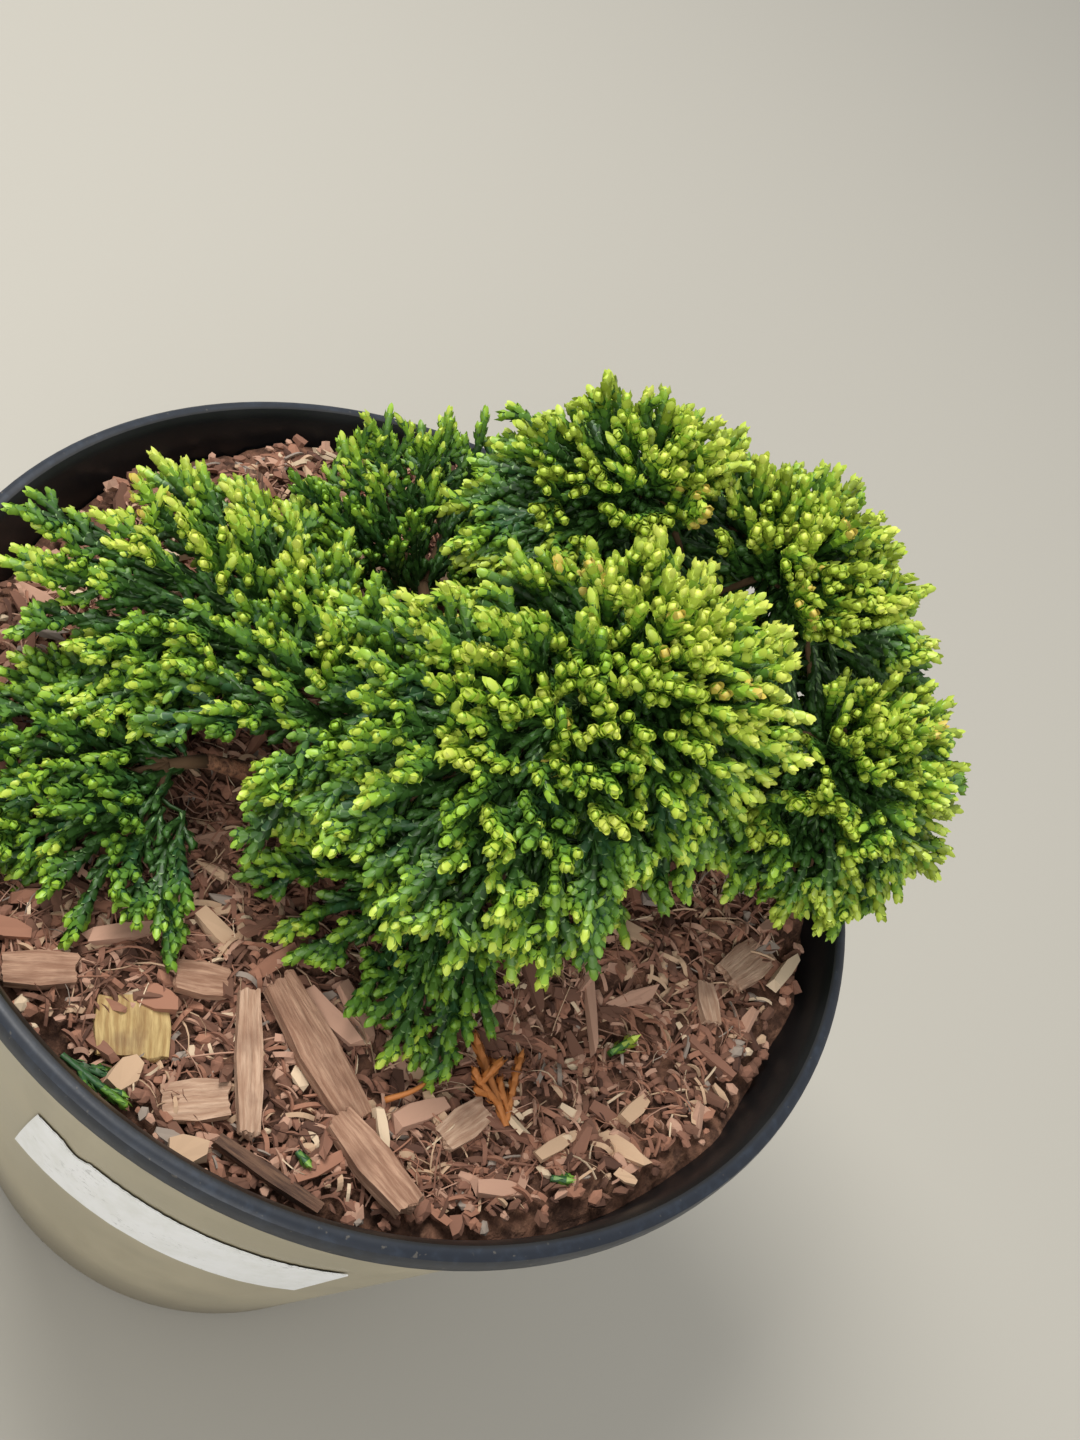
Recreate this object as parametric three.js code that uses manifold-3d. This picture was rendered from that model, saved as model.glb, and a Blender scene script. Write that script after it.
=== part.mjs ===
// A dwarf conifer growing in a round nursery pot, as separate solids: pot, sticker, compost,
// wood chips, trunk, boughs and masses of foliage.
// Millimetres, +Z up, origin at the centre of the pot's flat underside.
import * as THREE from 'three';
import { mergeVertices } from 'three/addons/utils/BufferGeometryUtils.js';
import Module from 'manifold-3d';

const wasm = await Module();
wasm.setup();

// Driving dimensions
const GAP = 0.3; // clearance between neighbours that touch on the real plant
const POT_HEIGHT = 121;
const RIM_RADIUS = 79; // outside of the rolled rim
const BASE_RADIUS = 47;
const WALL = 1.3;
const FLOOR = 2.2;
const RIM_DEPTH = 4.5; // how far the rolled rim comes down outside
const RIM_OVERHANG = 2.4; // how far it stands out from the wall
const SOIL_HEIGHT = 112.6; // top of the compost at the trunk's foot
const SOIL_SLOPE = [0.03, 0.07]; // how it rises to the right and to the back
const SOIL_BUMPS = 2.2; // how far the compost's surface rises and falls
const DRAIN_HOLES = 6;
const DRAIN_RADIUS = 4;
const SPRAY_LENGTH = 13; // a blunt spray of scale leaves, root to tip
const SPRAY_WIDTH = 4.6;
const SPRAY_PITCH = 6; // from one spray to the next
const FAN_RISE = 0.5; // sprays lie flatter in a fan than in a dome
const STEM_RADIUS = 1.2; // a mass's stem, the same as its bough's tip

const degrees = THREE.MathUtils.degToRad;
const point = (x, y, z) => new THREE.Vector3(x, y, z);

// One repeatable run of numbers from 0 to 1 for each seed.
function dice(seed) {
  let state = seed;
  return () => {
    state = (state * 1664525 + 1013904223) % 4294967296;
    return state / 4294967296;
  };
}

// Passing between three.js geometry and closed solids
function solid(geometry) {
  const bare = geometry.clone();
  bare.deleteAttribute('normal');
  bare.deleteAttribute('uv');
  const merged = mergeVertices(bare);
  const corners = [];
  for (let i = 0; i < merged.index.count; i += 3) {
    const [a, b, c] = [0, 1, 2].map((k) => merged.index.getX(i + k));
    if (a !== b && b !== c && c !== a) corners.push(a, b, c);
  }
  return new wasm.Manifold(new wasm.Mesh({
    numProp: 3,
    vertProperties: Float32Array.from(merged.attributes.position.array),
    triVerts: Uint32Array.from(corners),
  }));
}

function geometryOf(body) {
  const mesh = body.getMesh();
  const geometry = new THREE.BufferGeometry();
  geometry.setAttribute('position', new THREE.BufferAttribute(mesh.vertProperties, 3));
  geometry.setIndex(new THREE.BufferAttribute(mesh.triVerts, 1));
  geometry.computeVertexNormals();
  return geometry;
}

// The largest single body of a cut solid, without loose scraps.
function largest(body) {
  const bodies = body.decompose();
  return bodies.reduce((best, next) => (next.volume() > best.volume() ? next : best));
}

// A tapering limb: a cylinder bent along a path, its radius set by how far along it is.
function limb(path, radiusAt, sides, steps) {
  const tube = new THREE.CylinderGeometry(1, 1, 1, sides, steps);
  const frames = path.computeFrenetFrames(steps);
  const place = tube.attributes.position;
  for (let i = 0; i < place.count; i++) {
    const along = place.getY(i) + 0.5;
    const step = Math.round(along * steps);
    const centre = path.getPointAt(along);
    centre.addScaledVector(frames.normals[step], radiusAt(along) * place.getX(i));
    centre.addScaledVector(frames.binormals[step], -radiusAt(along) * place.getZ(i));
    place.setXYZ(i, centre.x, centre.y, centre.z);
  }
  return solid(tube);
}

// Space taken by limbs, cores and sprays, kept as balls so that a new spray can be tried against it
const taken = [];

function claim(owner, centre, radius) {
  taken.push({ owner, centre, radius });
}

function isFree(owner, balls) {
  return balls.every((ball) => taken.every((other) => other.owner === owner
    || other.centre.distanceTo(ball.centre) > other.radius + ball.radius + GAP));
}

// Whether a ball is in the pot's wall, or beyond it below the rim
function inPotWall({ centre, radius }) {
  return centre.z < POT_HEIGHT + radius && centre.z > POT_HEIGHT - RIM_DEPTH - radius
    ? Math.abs(Math.hypot(centre.x, centre.y) - RIM_RADIUS + RIM_OVERHANG) < RIM_OVERHANG + GAP + radius
    : centre.z < POT_HEIGHT && Math.hypot(centre.x, centre.y) + radius > insideRadiusAt(centre.z) - GAP;
}

// Pot: a tapering moulded nursery pot with a rolled rim and drain holes round its flat floor
const wallRadiusAt = (z) => BASE_RADIUS
  + (RIM_RADIUS - RIM_OVERHANG - BASE_RADIUS) * (z / (POT_HEIGHT - RIM_DEPTH));
const insideRadiusAt = (z) => THREE.MathUtils.mapLinear(z, FLOOR, POT_HEIGHT - 1.2,
  wallRadiusAt(FLOOR) - WALL, RIM_RADIUS - RIM_OVERHANG - WALL);

function pot() {
  const outline = [
    [0, 0],
    [BASE_RADIUS - 1.5, 0],
    [BASE_RADIUS, 1.5],
    [wallRadiusAt(POT_HEIGHT - RIM_DEPTH), POT_HEIGHT - RIM_DEPTH],
    [RIM_RADIUS - 0.8, POT_HEIGHT - RIM_DEPTH],
    [RIM_RADIUS, POT_HEIGHT - RIM_DEPTH + 0.9],
    [RIM_RADIUS, POT_HEIGHT - 1.4],
    [RIM_RADIUS - 1.2, POT_HEIGHT],
    [RIM_RADIUS - RIM_OVERHANG, POT_HEIGHT],
    [insideRadiusAt(POT_HEIGHT - 1.2), POT_HEIGHT - 1.2],
    [insideRadiusAt(FLOOR), FLOOR],
    [0, FLOOR],
  ];
  const shell = solid(new THREE.LatheGeometry(outline.map(([r, z]) => new THREE.Vector2(r, z)), 60)
    .rotateX(Math.PI / 2));
  let drained = shell;
  for (let i = 0; i < DRAIN_HOLES; i++) {
    const hole = new THREE.CylinderGeometry(DRAIN_RADIUS, DRAIN_RADIUS, 3 * FLOOR, 12);
    const turn = (i / DRAIN_HOLES) * 2 * Math.PI;
    hole.rotateX(Math.PI / 2).translate(0.7 * BASE_RADIUS * Math.cos(turn), 0.7 * BASE_RADIUS * Math.sin(turn), 0);
    drained = drained.subtract(solid(hole));
  }
  return drained;
}

// Sticker: a blank curved label on the front of the pot, a hair off the wall
const STICKER = { bottom: 61, top: 91, from: -105, to: -58.5, thick: 0.35, slant: 3 };

function sticker() {
  const band = new THREE.BoxGeometry(1, 1, 1, 20, 1, 1);
  const place = band.attributes.position;
  for (let i = 0; i < place.count; i++) {
    const along = place.getX(i) + 0.5;
    const turn = degrees(STICKER.from + along * (STICKER.to - STICKER.from));
    const z = THREE.MathUtils.lerp(STICKER.bottom, STICKER.top, place.getZ(i) + 0.5) - along * STICKER.slant;
    const radius = wallRadiusAt(z) + GAP + STICKER.thick * (0.5 - place.getY(i));
    place.setXYZ(i, radius * Math.cos(turn), radius * Math.sin(turn), z);
  }
  return solid(band);
}

// Compost: fills the pot, its top lumpy and heaped to the back but level where the trunk stands
const FOOT = point(8, 6, SOIL_HEIGHT + GAP);
const FOOT_SEAT = 9; // radius of the level patch round the trunk

function soilHeightAt(x, y) {
  const lumps = Math.sin(x * 0.13 + 1) * Math.cos(y * 0.17) + 0.6 * Math.sin(x * 0.31 - y * 0.23)
    + 0.4 * Math.cos(x * 0.11 + y * 0.37);
  const away = THREE.MathUtils.smoothstep(Math.hypot(x - FOOT.x, y - FOOT.y), FOOT_SEAT, 2.5 * FOOT_SEAT);
  const heap = SOIL_SLOPE[0] * (x - FOOT.x) + SOIL_SLOPE[1] * (y - FOOT.y);
  return SOIL_HEIGHT + (heap + 0.5 * SOIL_BUMPS * lumps) * away;
}

function compost() {
  const fill = new THREE.CylinderGeometry(1, 1, 1, 40, 1, true);
  const top = new THREE.RingGeometry(0.0001, 1, 40, 8).rotateX(-Math.PI / 2).translate(0, 0.5, 0);
  const bottom = new THREE.CircleGeometry(1, 40).rotateX(Math.PI / 2).translate(0, -0.5, 0);
  const faces = [fill, top, bottom];
  const spots = [];
  const index = [];
  for (const face of faces) {
    const place = face.attributes.position;
    for (const corner of face.index.array) index.push(corner + spots.length / 3);
    for (let i = 0; i < place.count; i++) {
      const reach = Math.hypot(place.getX(i), place.getZ(i));
      const turn = Math.atan2(-place.getZ(i), place.getX(i));
      const high = place.getY(i) > 0;
      const far = insideRadiusAt(SOIL_HEIGHT);
      const edge = high ? soilHeightAt(far * Math.cos(turn), far * Math.sin(turn)) : FLOOR + GAP;
      const radius = Math.round(reach * 1000) / 1000 * (insideRadiusAt(edge) - 2 * GAP);
      const [x, y] = [radius * Math.cos(turn), radius * Math.sin(turn)];
      spots.push(x, y, high ? soilHeightAt(x, y) : edge);
    }
  }
  const skin = new THREE.BufferGeometry();
  skin.setAttribute('position', new THREE.Float32BufferAttribute(spots, 3));
  skin.setIndex(index);
  return solid(skin);
}

// Wood chips: flat splinters of bark and wood bedded in the compost's top
const CHIPS = [
  { at: [-10, -58.7], length: 8.8, width: 12.2, thick: 2.0, turn: -53, tilt: 6 },
  { at: [3.4, -62.2], length: 9.4, width: 7.0, thick: 1.8, turn: 41, tilt: -5 },
  { at: [6, -53.2], length: 21, width: 4.4, thick: 2.2, turn: -55, tilt: 5 },
  { at: [13, -46], length: 23, width: 7.4, thick: 2.6, turn: -24, tilt: 7 },
  { at: [28.5, -56], length: 16, width: 6.6, thick: 2.8, turn: -20, tilt: -6 },
  { at: [17.5, -65.2], length: 17, width: 2.6, thick: 1.8, turn: 3, tilt: 3 },
  { at: [-6.5, -47.4], length: 8, width: 6, thick: 2.0, turn: 34, tilt: 8 },
  { at: [-25, -60.6], length: 10, width: 6.2, thick: 2.2, turn: 38, tilt: -4 },
  { at: [62.3, 12], length: 11.5, width: 7.6, thick: 2.2, turn: 72, tilt: 7 },
  { at: [59.5, 0], length: 7.5, width: 4, thick: 2.0, turn: -58, tilt: -6 },
  { at: [36.7, -42], length: 9.5, width: 5.6, thick: 1.8, turn: 72, tilt: 5 },
  { at: [-60, 8], length: 16, width: 5, thick: 2.2, turn: 80, tilt: 5 },
  { at: [-50, 29], length: 18, width: 5.4, thick: 2.4, turn: 118, tilt: -6 },
  { at: [-38, 44], length: 15, width: 6, thick: 2.4, turn: 40, tilt: 6 },
];

function chip({ at: [x, y], length, width, thick, turn, tilt }, extra) {
  const block = new THREE.CylinderGeometry(0.5, 0.5, 1, 6).rotateX(Math.PI / 2);
  block.scale(length + 2 * extra, width + 2 * extra, thick + 2 * extra);
  block.rotateY(degrees(tilt)).rotateZ(degrees(turn));
  return solid(block.translate(x, y, soilHeightAt(x, y) + 0.2 * thick));
}

// Trunk: one stem with a flared foot, cut flat at ground level and leaning into the crown
const TRUNK = {
  path: [FOOT, point(8, 6, 117), point(6, 4, 124), point(7, 1, 133), point(12, 1, 142), point(15, 4, 149)],
  foot: 5.4,
  base: 3.6,
  tip: 1.3,
  flare: 0.08,
};

const trunkPath = new THREE.CatmullRomCurve3(TRUNK.path);
const trunkRadiusAt = (along) => THREE.MathUtils.lerp(TRUNK.base, TRUNK.tip, along)
  + (TRUNK.foot - TRUNK.base) * Math.exp(-along / TRUNK.flare);

// Boughs: each leaves the trunk part of the way up and tapers to the foot of one mass
const BOUGHS = [
  { name: 'bough_front_upper', leaves: 0.59, through: [9, -5, 142], to: [10, -12, 149] },
  { name: 'bough_front', leaves: 0.22, through: [14, -3, 123], to: [21, -12, 127] },
  { name: 'bough_front_left', leaves: 0.35, through: [-1, -4, 128], to: [-9, -11, 134] },
  { name: 'bough_left', leaves: 0.16, through: [-6, 8, 121], to: [-20, 5, 128] },
  { name: 'bough_left_low', leaves: 0.1, through: [-6, -9, 117], to: [-26, -22, 120] },
  { name: 'bough_back_left', leaves: 0.25, through: [-4, 14, 121], to: [-14, 24, 126] },
  { name: 'bough_back', leaves: 0.47, through: [4, 17, 139], to: [-1, 34, 153] },
  { name: 'bough_back_right', leaves: 0.4, through: [17, 22, 137], to: [29, 41, 150] },
  { name: 'bough_right', leaves: 0.28, through: [22, 13, 127], to: [43, 29, 137] },
  { name: 'bough_right_low', leaves: 0.18, through: [13, 3, 119], to: [19, 2, 122] },
  { name: 'bough_back_low', leaves: 0.13, through: [9, 22, 119], to: [13, 42, 122] },
];
const BOUGH_BASE = 2.3;

function boughPath({ leaves, through, to }) {
  return new THREE.CatmullRomCurve3([trunkPath.getPointAt(leaves), point(...through), point(...to)]);
}

const boughRadiusAt = (along) => THREE.MathUtils.lerp(BOUGH_BASE, STEM_RADIUS, along);

function claimLimb(owner, path, radiusAt) {
  const balls = Math.ceil(path.getLength() / 1.5);
  for (let i = 0; i <= balls; i++) claim(owner, path.getPointAt(i / balls), radiusAt(i / balls));
}

// Masses of foliage: each is a cupped sheet spreading from its heart, either a whole dome or a fan.
// reach runs along the spine and width across it, droop is how far the rim hangs below the heart,
// spread is the half angle of the fan, and face leans the sheet's upper side towards a bearing.
const MASSES = [
  { name: 'foliage_centre_back', from: [15, 4, 149], heart: [22, 11, 167], spine: 65, spread: 180,
    reach: 36, width: 26, droop: 21, thick: 15, face: [-25, 8] },
  { name: 'foliage_centre_front', from: [10, -12, 149], heart: [14, -4, 163], spine: 243, spread: 64,
    reach: 40, width: 34, droop: 15, thick: 9, face: [250, 12] },
  { name: 'foliage_front', from: [21, -12, 127], heart: [16, -15, 133], spine: 224, spread: 70,
    reach: 34, width: 28, droop: 8, thick: 6, face: [250, 22] },
  { name: 'foliage_front_left', from: [-9, -11, 134], heart: [-8, -9, 145], spine: 200, spread: 58,
    reach: 33, width: 27, droop: 8, thick: 8, face: [200, 8] },
  { name: 'foliage_left', from: [-20, 5, 128], heart: [-21, -1, 136], spine: 193, spread: 74,
    reach: 50, width: 27, droop: 12, thick: 9, face: [150, -14] },
  { name: 'foliage_left_low', from: [-26, -22, 120], heart: [-28, -25, 124], spine: 226, spread: 70,
    reach: 31, width: 27, droop: 4, thick: 6, face: [240, 12] },
  { name: 'foliage_back_left', from: [-14, 24, 126], heart: [-15, 25, 128], spine: 136, spread: 66,
    reach: 28, width: 25, droop: 3, thick: 6, face: [-48, 46] },
  { name: 'foliage_back', from: [-1, 34, 153], heart: [3, 45, 168], spine: 40, spread: 180,
    reach: 26, width: 22, droop: 22, thick: 13, face: [100, 6] },
  { name: 'foliage_back_right', from: [29, 41, 150], heart: [30, 52, 166], spine: 10, spread: 180,
    reach: 32, width: 27, droop: 22, thick: 13, face: [60, 4] },
  { name: 'foliage_right', from: [43, 29, 137], heart: [55, 36, 154], spine: 70, spread: 180,
    reach: 28, width: 24, droop: 13, thick: 12, face: [-14, 12] },
  { name: 'foliage_right_low', from: [19, 2, 122], heart: [20, 4, 128], spine: 355, spread: 84,
    reach: 18, width: 17, droop: 6, thick: 6, face: [10, 8] },
  { name: 'foliage_back_low', from: [13, 42, 122], heart: [14, 38, 132], spine: 60, spread: 100,
    reach: 34, width: 33, droop: 7, thick: 6, face: [60, 2] },
];

// The sheet's own directions, its points, and how it slopes away from the heart
function sheet({ heart, spine, spread, reach, width, droop, thick, face: [bearing, lean] }) {
  const up = point(0, 0, 1).applyAxisAngle(
    point(-Math.sin(degrees(bearing)), Math.cos(degrees(bearing)), 0), degrees(lean));
  const ahead = point(Math.cos(degrees(spine)), Math.sin(degrees(spine)), 0);
  ahead.addScaledVector(up, -ahead.dot(up)).normalize();
  const aside = up.clone().cross(ahead);
  const at = (x, y, below) => point(...heart)
    .addScaledVector(ahead, x)
    .addScaledVector(aside, y)
    .addScaledVector(up, -below - droop * ((x / reach) ** 2 + (y / width) ** 2));
  const rimAt = (turn) => (reach * width) / Math.hypot(width * Math.cos(turn), reach * Math.sin(turn));
  const outwards = (turn, v) => point(0, 0, 0)
    .addScaledVector(ahead, rimAt(turn) * Math.cos(turn))
    .addScaledVector(aside, rimAt(turn) * Math.sin(turn))
    .addScaledVector(up, -2 * droop * v)
    .normalize();
  const whole = spread >= 180;
  const middle = at(whole ? 0 : 0.5 * reach, 0, thick / 2);
  const halves = [whole ? reach : 0.55 * reach, whole ? width : 0.8 * width, (droop + thick) / 2];
  const ownDistance = (spot) => {
    const off = spot.clone().sub(middle);
    const parts = [off.dot(ahead), off.dot(aside), off.dot(up)];
    return off.length() * (1 - 1 / Math.hypot(...parts.map((part, i) => part / halves[i])));
  };
  return { up, ahead, aside, at, rimAt, outwards, whole, ownDistance };
}

// Core: a smaller cushion that follows the sheet and that the sprays stand out of
function coreSize(mass, own) {
  return {
    long: mass.reach * (own.whole ? 0.74 : 0.38),
    wide: mass.width * (own.whole ? 0.74 : 0.42),
    ahead: own.whole ? 0 : 0.44 * mass.reach,
  };
}

function core(mass, own, extra) {
  const { long, wide, ahead } = coreSize(mass, own);
  const cushion = new THREE.SphereGeometry(1, 12, 7);
  const place = cushion.attributes.position;
  for (let i = 0; i < place.count; i++) {
    const below = 0.5 * mass.thick - (0.5 * mass.thick + extra) * place.getY(i);
    const spot = own.at(ahead + (long + extra) * place.getX(i), -(wide + extra) * place.getZ(i), below);
    place.setXYZ(i, spot.x, spot.y, spot.z);
  }
  return solid(cushion);
}

function claimCore(mass, own) {
  const { long, wide, ahead } = coreSize(mass, own);
  for (let i = -3; i <= 3; i++) {
    for (let j = -3; j <= 3; j++) {
      const bulge = 1 - (i / 3) ** 2 - (j / 3) ** 2;
      if (bulge < 0.1) continue;
      const centre = own.at(ahead + (long * i) / 3, (wide * j) / 3, mass.thick / 2);
      claim(mass.name, centre, 0.5 * mass.thick * Math.sqrt(bulge));
    }
  }
}

// Spray: a blunt spindle of eight faces, widest towards its tip
function spray(foot, direction, length, width, up) {
  const spindle = new THREE.OctahedronGeometry(1, 0);
  const side = direction.clone().cross(up).normalize();
  const over = side.clone().cross(direction).normalize();
  const place = spindle.attributes.position;
  for (let i = 0; i < place.count; i++) {
    const along = place.getY(i) < -0.5 ? 0 : place.getY(i) > 0.5 ? 1 : 0.66;
    const spot = foot.clone()
      .addScaledVector(direction, along * length)
      .addScaledVector(side, 0.5 * width * place.getX(i))
      .addScaledVector(over, 0.42 * width * place.getZ(i));
    place.setXYZ(i, spot.x, spot.y, spot.z);
  }
  return solid(spindle);
}

// Growth rule: rows of sprays leave the heart at even steps, every row even along its arc, and each
// spray points outwards and up; the last row also hangs a second spray below the sheet.
// A spray that would touch a limb or another mass, or leave the mass's own space, is skipped.
function sprays(mass, own, others, roll) {
  const rows = Math.max(3, Math.round(Math.hypot(mass.width, mass.droop) / SPRAY_PITCH));
  const span = degrees(Math.min(mass.spread, 180));
  const grown = [];
  for (let row = 0; row <= rows + 1; row++) {
    const hangs = row > rows;
    const v = hangs ? 0.96 : Math.max(0.1, (row / rows) ** 0.85);
    const arc = 2 * span * v * Math.sqrt(mass.reach * mass.width);
    const count = Math.max(1, Math.round(arc / (hangs ? 1.6 * SPRAY_PITCH : SPRAY_PITCH)));
    for (let i = 0; i < count; i++) {
      const turn = own.whole
        ? ((i + 0.5 * (row % 2)) / count) * 2 * Math.PI
        : (count === 1 ? 0 : (i / (count - 1)) * 2 - 1) * span;
      const wobble = (roll() - 0.5) * 0.3;
      const out = own.outwards(turn + wobble / Math.max(1, 3 * v), v);
      const rise = hangs ? -0.7 : (1.15 * (1 - v) + 0.3) * (own.whole ? 1 : FAN_RISE);
      const direction = out.clone().multiplyScalar(0.25 + 0.75 * v)
        .addScaledVector(own.up, rise + (roll() - 0.5) * 0.4).normalize();
      const length = SPRAY_LENGTH * (0.9 + 0.25 * roll());
      const rim = own.rimAt(turn) * v * 0.84;
      const foot = own.at(rim * Math.cos(turn), rim * Math.sin(turn), 0.5 * mass.thick)
        .addScaledVector(out, -0.25 * length);
      const balls = [0.2, 0.4, 0.6, 0.75, 0.95].map((t) => ({
        centre: foot.clone().addScaledVector(direction, t * length),
        radius: 0.5 * SPRAY_WIDTH * Math.min(1, t / 0.6, 2.2 - 1.7 * t),
      }));
      const tip = foot.clone().addScaledVector(direction, length);
      const outside = others.some((other) => other.ownDistance(tip) < Math.min(0, own.ownDistance(tip)));
      const buried = tip.z < soilHeightAt(tip.x, tip.y) + SOIL_BUMPS;
      if (outside || buried || balls.some(inPotWall) || !isFree(mass.name, balls)) continue;
      balls.forEach((ball) => claim(mass.name, ball.centre, ball.radius));
      grown.push(spray(foot, direction, length, SPRAY_WIDTH, own.up));
    }
  }
  return grown;
}

// Ribs: twigs that fork from the stem's end and run out under the sheet, holding the core and sprays
function ribs(mass, own) {
  const count = own.whole ? 4 : 5;
  const stemEnd = own.at(own.whole ? 0 : 0.1 * mass.reach, 0, 0.6 * mass.thick);
  const stem = new THREE.LineCurve3(point(...mass.from), stemEnd);
  const twigs = [limb(stem, () => STEM_RADIUS, 6, 1)];
  claimLimb(mass.name, stem, () => STEM_RADIUS);
  for (let i = 0; i < count; i++) {
    const turn = own.whole
      ? ((i + 0.5) / count) * 2 * Math.PI
      : ((i / (count - 1)) * 2 - 1) * 0.65 * degrees(mass.spread);
    const run = own.rimAt(turn) * 0.75;
    const end = own.at(run * Math.cos(turn), run * Math.sin(turn), 0.5 * mass.thick);
    const half = own.at(0.5 * run * Math.cos(turn), 0.5 * run * Math.sin(turn), 0.6 * mass.thick);
    const path = new THREE.CatmullRomCurve3([stemEnd, half, end]);
    const balls = [0.3, 0.5, 0.7, 0.85, 1].map((t) => ({ centre: path.getPointAt(t), radius: 1.2 }));
    if (!isFree(mass.name, balls)) continue;
    balls.forEach((ball) => claim(mass.name, ball.centre, ball.radius));
    twigs.push(limb(path, (along) => 1.1 - 0.4 * along, 3, 3));
  }
  return twigs;
}

// Materials: plain colours of the finished surfaces
const paint = {
  pot: new THREE.MeshStandardMaterial({ color: 0x4a463f, roughness: 0.45, metalness: 0 }),
  sticker: new THREE.MeshStandardMaterial({ color: 0xe4e2dc, roughness: 0.6, metalness: 0 }),
  compost: new THREE.MeshStandardMaterial({ color: 0x4a2a1e, roughness: 1, metalness: 0 }),
  chip: new THREE.MeshStandardMaterial({ color: 0xb28763, roughness: 0.9, metalness: 0 }),
  bark: new THREE.MeshStandardMaterial({ color: 0x7d5238, roughness: 0.95, metalness: 0 }),
  foliage: new THREE.MeshStandardMaterial({ color: 0x5e8a1f, roughness: 0.6, metalness: 0 }),
};

const plant = new THREE.Group();

function place(name, body, material) {
  const mesh = new THREE.Mesh(geometryOf(body), material);
  mesh.name = name;
  plant.add(mesh);
}

place('pot', pot(), paint.pot);
place('sticker', sticker(), paint.sticker);

let bed = compost();
CHIPS.forEach((size, i) => {
  place(`wood_chip_${String(i + 1).padStart(2, '0')}`, chip(size, 0), paint.chip);
  bed = bed.subtract(chip(size, GAP));
});
place('compost', largest(bed), paint.compost);

place('trunk', limb(trunkPath, trunkRadiusAt, 10, 12), paint.bark);
claimLimb('limbs', trunkPath, trunkRadiusAt);
let limbsGrown = limb(trunkPath, (along) => trunkRadiusAt(along) + GAP, 10, 12);
for (const bough of BOUGHS) {
  const path = boughPath(bough);
  place(bough.name, largest(limb(path, boughRadiusAt, 6, 6).subtract(limbsGrown)), paint.bark);
  limbsGrown = limbsGrown.add(limb(path, (along) => boughRadiusAt(along) + GAP, 6, 6));
  claimLimb('limbs', path, boughRadiusAt);
}

const sheets = MASSES.map((mass) => sheet(mass));
const coresGrown = MASSES.map((mass, i) => core(mass, sheets[i], 2 * GAP));
const cores = MASSES.map((mass, i) => {
  claimCore(mass, sheets[i]);
  return largest(coresGrown.slice(0, i).reduce((rest, other) => rest.subtract(other), core(mass, sheets[i], 0)));
});
const twigs = MASSES.map((mass, i) => ribs(mass, sheets[i]));
MASSES.forEach((mass, i) => {
  const others = sheets.filter((other) => other !== sheets[i]);
  const pieces = [...twigs[i], ...sprays(mass, sheets[i], others, dice(101 + 17 * i))];
  const growth = pieces.reduce((whole, piece) => whole.add(piece));
  const clear = coresGrown.reduce((rest, other, j) => (j === i ? rest : rest.subtract(other)), growth);
  place(mass.name, largest(cores[i].add(clear).subtract(limbsGrown)), paint.foliage);
});

export default plant;
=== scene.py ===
"""A dwarf conifer in its nursery pot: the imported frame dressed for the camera."""
import math
import random

import bpy
import numpy as np
from mathutils import Matrix, Vector, noise


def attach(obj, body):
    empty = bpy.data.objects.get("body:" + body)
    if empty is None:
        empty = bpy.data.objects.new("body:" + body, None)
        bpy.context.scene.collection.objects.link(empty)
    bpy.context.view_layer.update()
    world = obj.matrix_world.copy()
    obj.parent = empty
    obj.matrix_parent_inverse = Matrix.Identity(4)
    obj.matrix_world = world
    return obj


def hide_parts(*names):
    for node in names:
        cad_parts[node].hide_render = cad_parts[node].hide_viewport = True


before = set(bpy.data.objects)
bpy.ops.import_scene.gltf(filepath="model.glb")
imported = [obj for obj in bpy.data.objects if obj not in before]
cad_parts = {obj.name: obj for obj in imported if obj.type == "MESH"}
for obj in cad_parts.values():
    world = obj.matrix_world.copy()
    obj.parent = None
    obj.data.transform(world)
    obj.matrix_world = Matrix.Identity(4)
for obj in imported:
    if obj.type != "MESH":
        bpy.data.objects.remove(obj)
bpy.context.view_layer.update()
MM = 0.001

# Camera and daylight: the photo is taken from above and in front, the camera rolled to the left,
# under a bright overcast sky. The pot stands on a plain pale board.
camera = bpy.data.objects.new("camera", bpy.data.cameras.new("camera"))
bpy.context.collection.objects.link(camera)
camera.data.sensor_fit = "VERTICAL"
camera.data.sensor_height = 36
camera.data.lens = 44.875
camera.data.clip_start = 0.01
right, up, back = (0.8092, 0.4239, 0.4069), (-0.5876, 0.5838, 0.5603), (0, -0.6924, 0.7215)
camera_place = (0.01105, -0.18402, 0.3386)
camera.matrix_world = Matrix((*zip(right, up, back, camera_place), (0, 0, 0, 1)))
bpy.context.scene.camera = camera

sky = bpy.data.worlds.new("overcast sky")
bpy.context.scene.world = sky
sky.use_nodes = True
sky.node_tree.nodes["Background"].inputs["Color"].default_value = (0.96, 0.98, 1, 1)
sky.node_tree.nodes["Background"].inputs["Strength"].default_value = 0.55
bpy.context.scene.view_settings.view_transform = "Standard"

plant_middle = Vector((0, 0, 0.12))
for name, place, size, watts in (
    ("bright_cloud", (-0.4, 0.15, 0.95), 0.4, 8.5),
    ("soft_side", (0.1, -0.9, 0.7), 0.6, 4),
):
    lamp = bpy.data.objects.new(name, bpy.data.lights.new(name, "AREA"))
    bpy.context.collection.objects.link(lamp)
    lamp.data.size = size
    lamp.data.energy = watts
    lamp.data.color = (1, 0.98, 0.94)
    lamp.location = place
    lamp.rotation_euler = (plant_middle - Vector(place)).to_track_quat("-Z", "Y").to_euler()


def screen(red, green, blue):
    """A colour read off a screen, 0 to 255, as a shader takes it."""
    return (*(((value / 255 + 0.055) / 1.055) ** 2.4 for value in (red, green, blue)), 1)


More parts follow.
